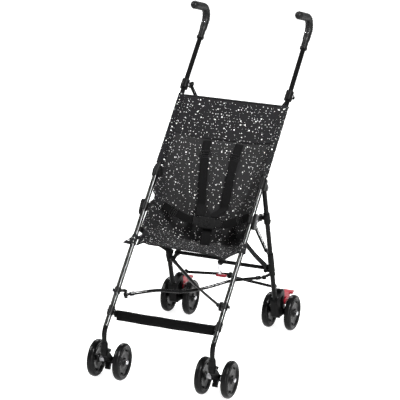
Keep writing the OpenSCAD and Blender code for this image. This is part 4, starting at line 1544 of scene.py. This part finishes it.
@dataclass
class Fasteners:
    """Bright screw heads, axle caps and pale axle sleeves on the brackets.

    A screw's place is along its tube or leg, with the gap from the tube's middle to the head's seat.
    """

    radius: float = 0.0040
    crown: float = 0.0031
    cap_radius: float = 0.0072
    cap_rim: float = 0.0075
    cap_rise: float = 0.0030
    through: tuple[tuple[float, float], ...] = ((0.916, 0.0120), (0.074, 0.0095))
    grip_screws: tuple[float, float] = (1.155, 0.0112)
    grip_spread: float = 0.0046
    pivot_gap: float = 0.0137
    bracket_screw: Triple = (0.456, 0.005, 0.0164)
    leg_screw: tuple[float, float] = (0.326, 0.0094)
    sleeve: float = 0.0086
    sleeve_ends: tuple[float, float] = (0.0147, 0.0312)
    front_pair: float = 0.088
    rear_pair: float = 0.079
    wheel_half: float = 0.012
    cap_gap: float = 0.0052

    def head(self, centre: Array, axis: Array, share: float = 1.0) -> Shell:
        """A domed head with a crossed recess.

        Args:
            centre: Middle of its seat.
            axis: Direction that it faces.
            share: Share of the usual radius.

        Returns:
            Vertices and faces.
        """
        k = np.linspace(0, 1, 12)
        radius = self.radius * share
        dome = np.stack([np.maximum(k, 0.02) * radius, self.crown - 0.0014 * k**2.5], -1)
        outline = np.vstack([dome, [[radius * 1.01, 0.0012], [radius, 0.0]]])
        return spin(outline, centre, axis, 36, self.recess)

    @staticmethod
    def recess(r: Array, a: Array) -> Array:
        """Two crossed slots near a head's middle, as a change of height."""
        arm = np.minimum(np.abs(r * np.sin(a)), np.abs(r * np.cos(a)))
        return -0.0009 * ease((0.0007 - arm) / 0.0003) * ease((0.0026 - r) / 0.0004)

    def cap(self, centre: Array, axis: Array) -> Shell:
        """A domed axle cap: a quarter ellipse and a straight skirt.

        Args:
            centre: Middle of the dome's foot.
            axis: Direction that it faces.

        Returns:
            Vertices and faces.
        """
        k = np.linspace(0, np.pi / 2, 14)
        dome = np.stack([np.maximum(np.sin(k), 0.02) * self.cap_radius, self.cap_rise * np.cos(k)], -1)
        outline = np.vstack([dome, [[self.cap_rim, -0.0012], [self.cap_rim, -0.0044]]])
        return spin(outline, centre, axis, 36)

    def pair(self, middle: Array, gap: float) -> list[Shell]:
        """Heads on both sides of a middle."""
        return [self.head(middle + X_AXIS * m * gap, X_AXIS * m) for m in (-1, 1)]

    def frame_heads(self, side: Side) -> list[Shell]:
        """The heads on one side frame: brackets, grip, leg pivot and seat bracket.

        Args:
            side: The frame's side.

        Returns:
            Shells of the heads.
        """
        x = side.value * HALF_TRACK
        out = X_AXIS * side.value
        heads = [head for s, gap in self.through for head in self.pair(tube_point(x, s), gap)]
        s, gap = self.grip_screws
        for k in (-self.grip_spread, self.grip_spread):
            heads.append(self.head(tube_point(x + k, s) + TUBE_FRONT * gap, TUBE_FRONT, 0.5))
        heads.append(self.head(np.array([x, *LEG_TOP]) + out * self.pivot_gap, out))
        s, o, gap = self.bracket_screw
        heads.append(self.head(tube_point(x, s, o) + out * gap, out))
        return heads

    def axle_sleeves(self, side: Side) -> list[Shell]:
        """The two sleeves on one caster's axle, between fork and wheels.

        Args:
            side: The caster's side.

        Returns:
            Shells of the sleeves.
        """
        shells = []
        x = side.value * HALF_TRACK
        for m in (-1, 1):
            inner, outer = (np.array([x + k * m, *FRONT_AXLE]) for k in self.sleeve_ends)
            shells.append(carry(np.linspace(inner, outer, 4), Y_AXIS, ring_section(self.sleeve)))
        return shells

    def build(self, maker: Maker) -> None:
        """Makes one piece of screw heads, sleeves or caps for each body.

        Args:
            maker: Puts pieces into the scene.
        """
        f = maker.finishes
        for side in Side:
            x = side.value * HALF_TRACK
            body, leg, caster = (f"{word}_{side.word}" for word in ("frame", "leg", "caster"))
            maker.piece(f"frame_screws_{side.word}", together(self.frame_heads(side)), body, f.zinc)
            d, gap = self.leg_screw
            heads = self.pair(leg_point(x, d), gap)
            maker.piece(f"leg_screws_{side.word}", together(heads), leg, f.zinc)
            sleeves = together(self.axle_sleeves(side))
            maker.piece(f"axle_sleeves_{side.word}", sleeves, caster, f.nylon)
            front, rear = (caster, FRONT_AXLE, self.front_pair), (leg, REAR_AXLE, self.rear_pair)
            for rider, axle, pair in (front, rear):
                gap = pair / 2 + self.wheel_half + self.cap_gap
                caps = [self.cap(np.array([x + m * gap, *axle]), X_AXIS * m) for m in (-1, 1)]
                maker.piece(f"axle_caps_{rider}", together(caps), rider, f.zinc)


@dataclass
class SideCap:
    """Grey oval cap on the outer face of each seat bracket, between two places along and behind the tube."""

    low: tuple[float, float] = (0.437, 0.008)
    high: tuple[float, float] = (0.466, 0.003)
    face: float = 0.0154
    rise: float = 0.0014
    radius: float = 0.0118

    def build(self, maker: Maker, side: Side) -> None:
        """Makes one cap: rings of a stadium outline that shrink to its middle as they rise to a low dome.

        Args:
            maker: Puts pieces into the scene.
            side: The bracket's side.
        """
        a = turns(64)[None, :]
        k = np.linspace(0, np.pi / 2, 14)[:, None]
        share = np.maximum(np.cos(k), 0.01)
        start, end = np.array(self.low), np.array(self.high)
        half = np.linalg.norm(end - start) / 2
        along = (end - start) / (2 * half)
        across = np.array([-along[1], along[0]])
        straight = np.sign(np.cos(a)) * half * np.minimum(1, np.abs(np.cos(a)) * 6)
        run = share * (straight + self.radius * np.cos(a))
        off = share * self.radius * np.sin(a)
        s, o = ((start[i] + end[i]) / 2 + run * along[i] + off * across[i] for i in (0, 1))
        x = HALF_TRACK + self.face + self.rise * np.sqrt(np.sin(k)) + 0 * a
        shell = mirrored(capped(tube_point(x, s, o)[::-1]), side)
        maker.piece(f"side_cap_{side.word}", shell, f"frame_{side.word}", maker.finishes.grey)


class Paint:
    """Gives each CAD node that stays in sight its finish."""

    def __init__(self, finishes: Finishes) -> None:
        """Pairs the first words of node names with finishes; every other node is of black plastic."""
        self.rules: list[tuple[tuple[str, ...], Material]] = [
            (("main_tube", "rear_leg", "back_brace", "rear_bar", "lock_link"), finishes.enamel),
            (("brake_pedal", "pedal_pad"), finishes.red),
            (("fold_pedal",), finishes.zinc),
        ]
        self.other = finishes.plastic

    def dress(self, nodes: dict[str, Object]) -> None:
        """Sets the materials of the CAD nodes.

        Args:
            nodes: CAD objects by name.
        """
        for name, made in nodes.items():
            material = next((m for words, m in self.rules if name.startswith(words)), self.other)
            made.data.materials.clear()
            made.data.materials.append(material)


# Floor, light and camera


def looking(back: Array, place: Array, lean: Array) -> Matrix:
    """Matrix of something that looks along minus back, with its upper side towards lean.

    Args:
        back: Direction of its back, of length one.
        place: Where it stands.
        lean: Direction that its upper side turns to.

    Returns:
        The matrix.
    """
    right = unit(np.cross(lean, back))
    turn = np.eye(4)
    turn[:3] = np.stack([right, np.cross(back, right), back, place], -1)
    return Matrix(turn.tolist())


@dataclass(frozen=True)
class SoftBox:
    """An area lamp that faces the part, with its height along the main tubes."""

    name: str
    place: Triple
    power: float
    size: tuple[float, float]
    target: Triple = (0.0, 0.0, 0.45)

    def build(self) -> Object:
        """Makes the lamp.

        Returns:
            The lamp.
        """
        data = bpy.data.lights.new(self.name, "AREA")
        data.energy = self.power
        data.shape = "RECTANGLE"
        data.size, data.size_y = self.size
        made = bpy.data.objects.new(self.name, data)
        back = unit(np.array(self.place) - np.array(self.target))
        made.matrix_world = looking(back, np.array(self.place), np.array([0.0, *TUBE_DIR]))
        bpy.context.scene.collection.objects.link(made)
        return made


@dataclass(frozen=True)
class Studio:
    """Floor, world, lamps and the photograph's camera."""

    focal: float = 198.906
    sensor: float = 36.0
    far: float = 60.0
    eye: Triple = (2.5008, -6.2467, 2.8875)
    back: Triple = (0.35374451, -0.87325652, 0.33509382)
    floor_half: float = 14.0
    floor_tone: float = 0.62
    floor_white: float = 0.88
    sky: float = 0.26
    gloss_share: float = 0.4
    boxes: tuple[SoftBox, ...] = (
        SoftBox("key", (2.3, -1.2, 3.3), 250.0, (0.24, 1.5)),
        SoftBox("side", (-2.3, -1.2, 3.3), 125.0, (0.2, 1.5)),
        SoftBox("low", (2.6, -3.6, 1.6), 52.0, (1.2, 1.6)),
        SoftBox("rear", (-1.2, 3.2, 2.6), 40.0, (0.8, 1.8)),
    )
    strip: SoftBox = SoftBox("glint", (2.9, -0.55, 3.02), 560.0, (0.3, 0.9))

    def build(self) -> None:
        """Makes the stage, lamps and camera."""
        self.floor()
        self.world()
        for box in self.boxes:
            box.build()
        self.camera()
        bpy.context.scene.view_settings.view_transform = "Standard"

    def floor(self) -> None:
        """Makes a wide pale floor whose own white shows only where the background is seen."""
        r = self.floor_half
        mesh = bpy.data.meshes.new("studio_floor")
        mesh.from_pydata([(-r, -r, 0), (r, -r, 0), (r, r, 0), (-r, r, 0)], [], [(0, 1, 2, 3)])
        made = bpy.data.objects.new("studio_floor", mesh)
        bpy.context.scene.collection.objects.link(made)
        material, tree, shader = blank("studio_white")
        feed(tree, shader, {
            "Base Color": (self.floor_tone, self.floor_tone, self.floor_tone, 1.0),
            "Roughness": 1.0,
            "Specular IOR Level": 0.0,
            "Emission Color": (1.0, 1.0, 1.0, 1.0),
            "Emission Strength": maths(tree, "MULTIPLY", self.seen(tree), self.floor_white),
        })
        mesh.materials.append(material)

    def seen(self, tree: Tree) -> Socket:
        """How far a ray shows the background: wholly to the camera and through glass, softened in a gloss.

        Args:
            tree: The floor's or the world's tree.

        Returns:
            A share from 0 to 1.
        """
        path = node(tree, "ShaderNodeLightPath").outputs
        gloss = maths(tree, "MULTIPLY", path["Is Glossy Ray"], self.gloss_share)
        shown = maths(tree, "MAXIMUM", path["Is Camera Ray"], gloss)
        return maths(tree, "MAXIMUM", shown, path["Is Transmission Ray"])

    def world(self) -> None:
        """Makes an even pale light, with a white backdrop round the horizon where it is seen."""
        world = bpy.data.worlds.new("studio_sky")
        bpy.context.scene.world = world
        world.use_nodes = True
        tree = world.node_tree
        way = node(tree, "ShaderNodeTexCoord").outputs["Generated"]
        height = node(tree, "ShaderNodeSeparateXYZ", {0: way}).outputs[2]
        backdrop = span(tree, height, (0.2, 0.45), (1.0, self.sky))
        strength = span(tree, self.seen(tree), (0.0, 1.0), (self.sky, backdrop))
        feed(tree, tree.nodes["Background"], {"Color": (1.0, 1.0, 1.0, 1.0), "Strength": strength})

    def glint(self, tubes: Sequence[Object]) -> None:
        """Makes a strip that shows only in the gloss of the painted tubes, as a thin line along them.

        Args:
            tubes: The painted pieces.
        """
        made = self.strip.build()
        made.visible_diffuse = False
        shown = bpy.data.collections.new("painted_tubes")
        for tube in tubes:
            shown.objects.link(tube)
        made.light_linking.receiver_collection = shown

    def camera(self) -> None:
        """Makes the camera for the photograph's view."""
        data = bpy.data.cameras.new("view")
        data.lens = self.focal
        data.sensor_width = self.sensor
        data.clip_end = self.far
        made = bpy.data.objects.new("view", data)
        made.matrix_world = looking(unit(np.array(self.back)), np.array(self.eye), Z_AXIS)
        bpy.context.scene.collection.objects.link(made)
        bpy.context.scene.camera = made


def main() -> None:
    """Builds every sub-assembly in order."""
    logging.basicConfig(level=logging.INFO, format="%(name)s: %(message)s")
    studio = Studio()
    studio.build()
    finishes = Finishes()
    Paint(finishes).dress(frame["nodes"])
    maker = Maker(finishes)
    seat = SeatCloth()
    seat.build(maker)
    Harness(seat).build(maker)
    Footrest().build(maker)
    for name in sorted(n for n in frame["nodes"] if "_wheel_" in n):
        Wheel().build(maker, name)
    for side in Side:
        Grip().build(maker, side)
        LowerBrace().build(maker, side)
        SideCap().build(maker, side)
    Fasteners().build(maker)
    meshes = [made for made in bpy.context.scene.objects if made.type == "MESH"]
    studio.glint([made for made in meshes if finishes.enamel in list(made.data.materials)])


if __name__ == "__main__":
    main()
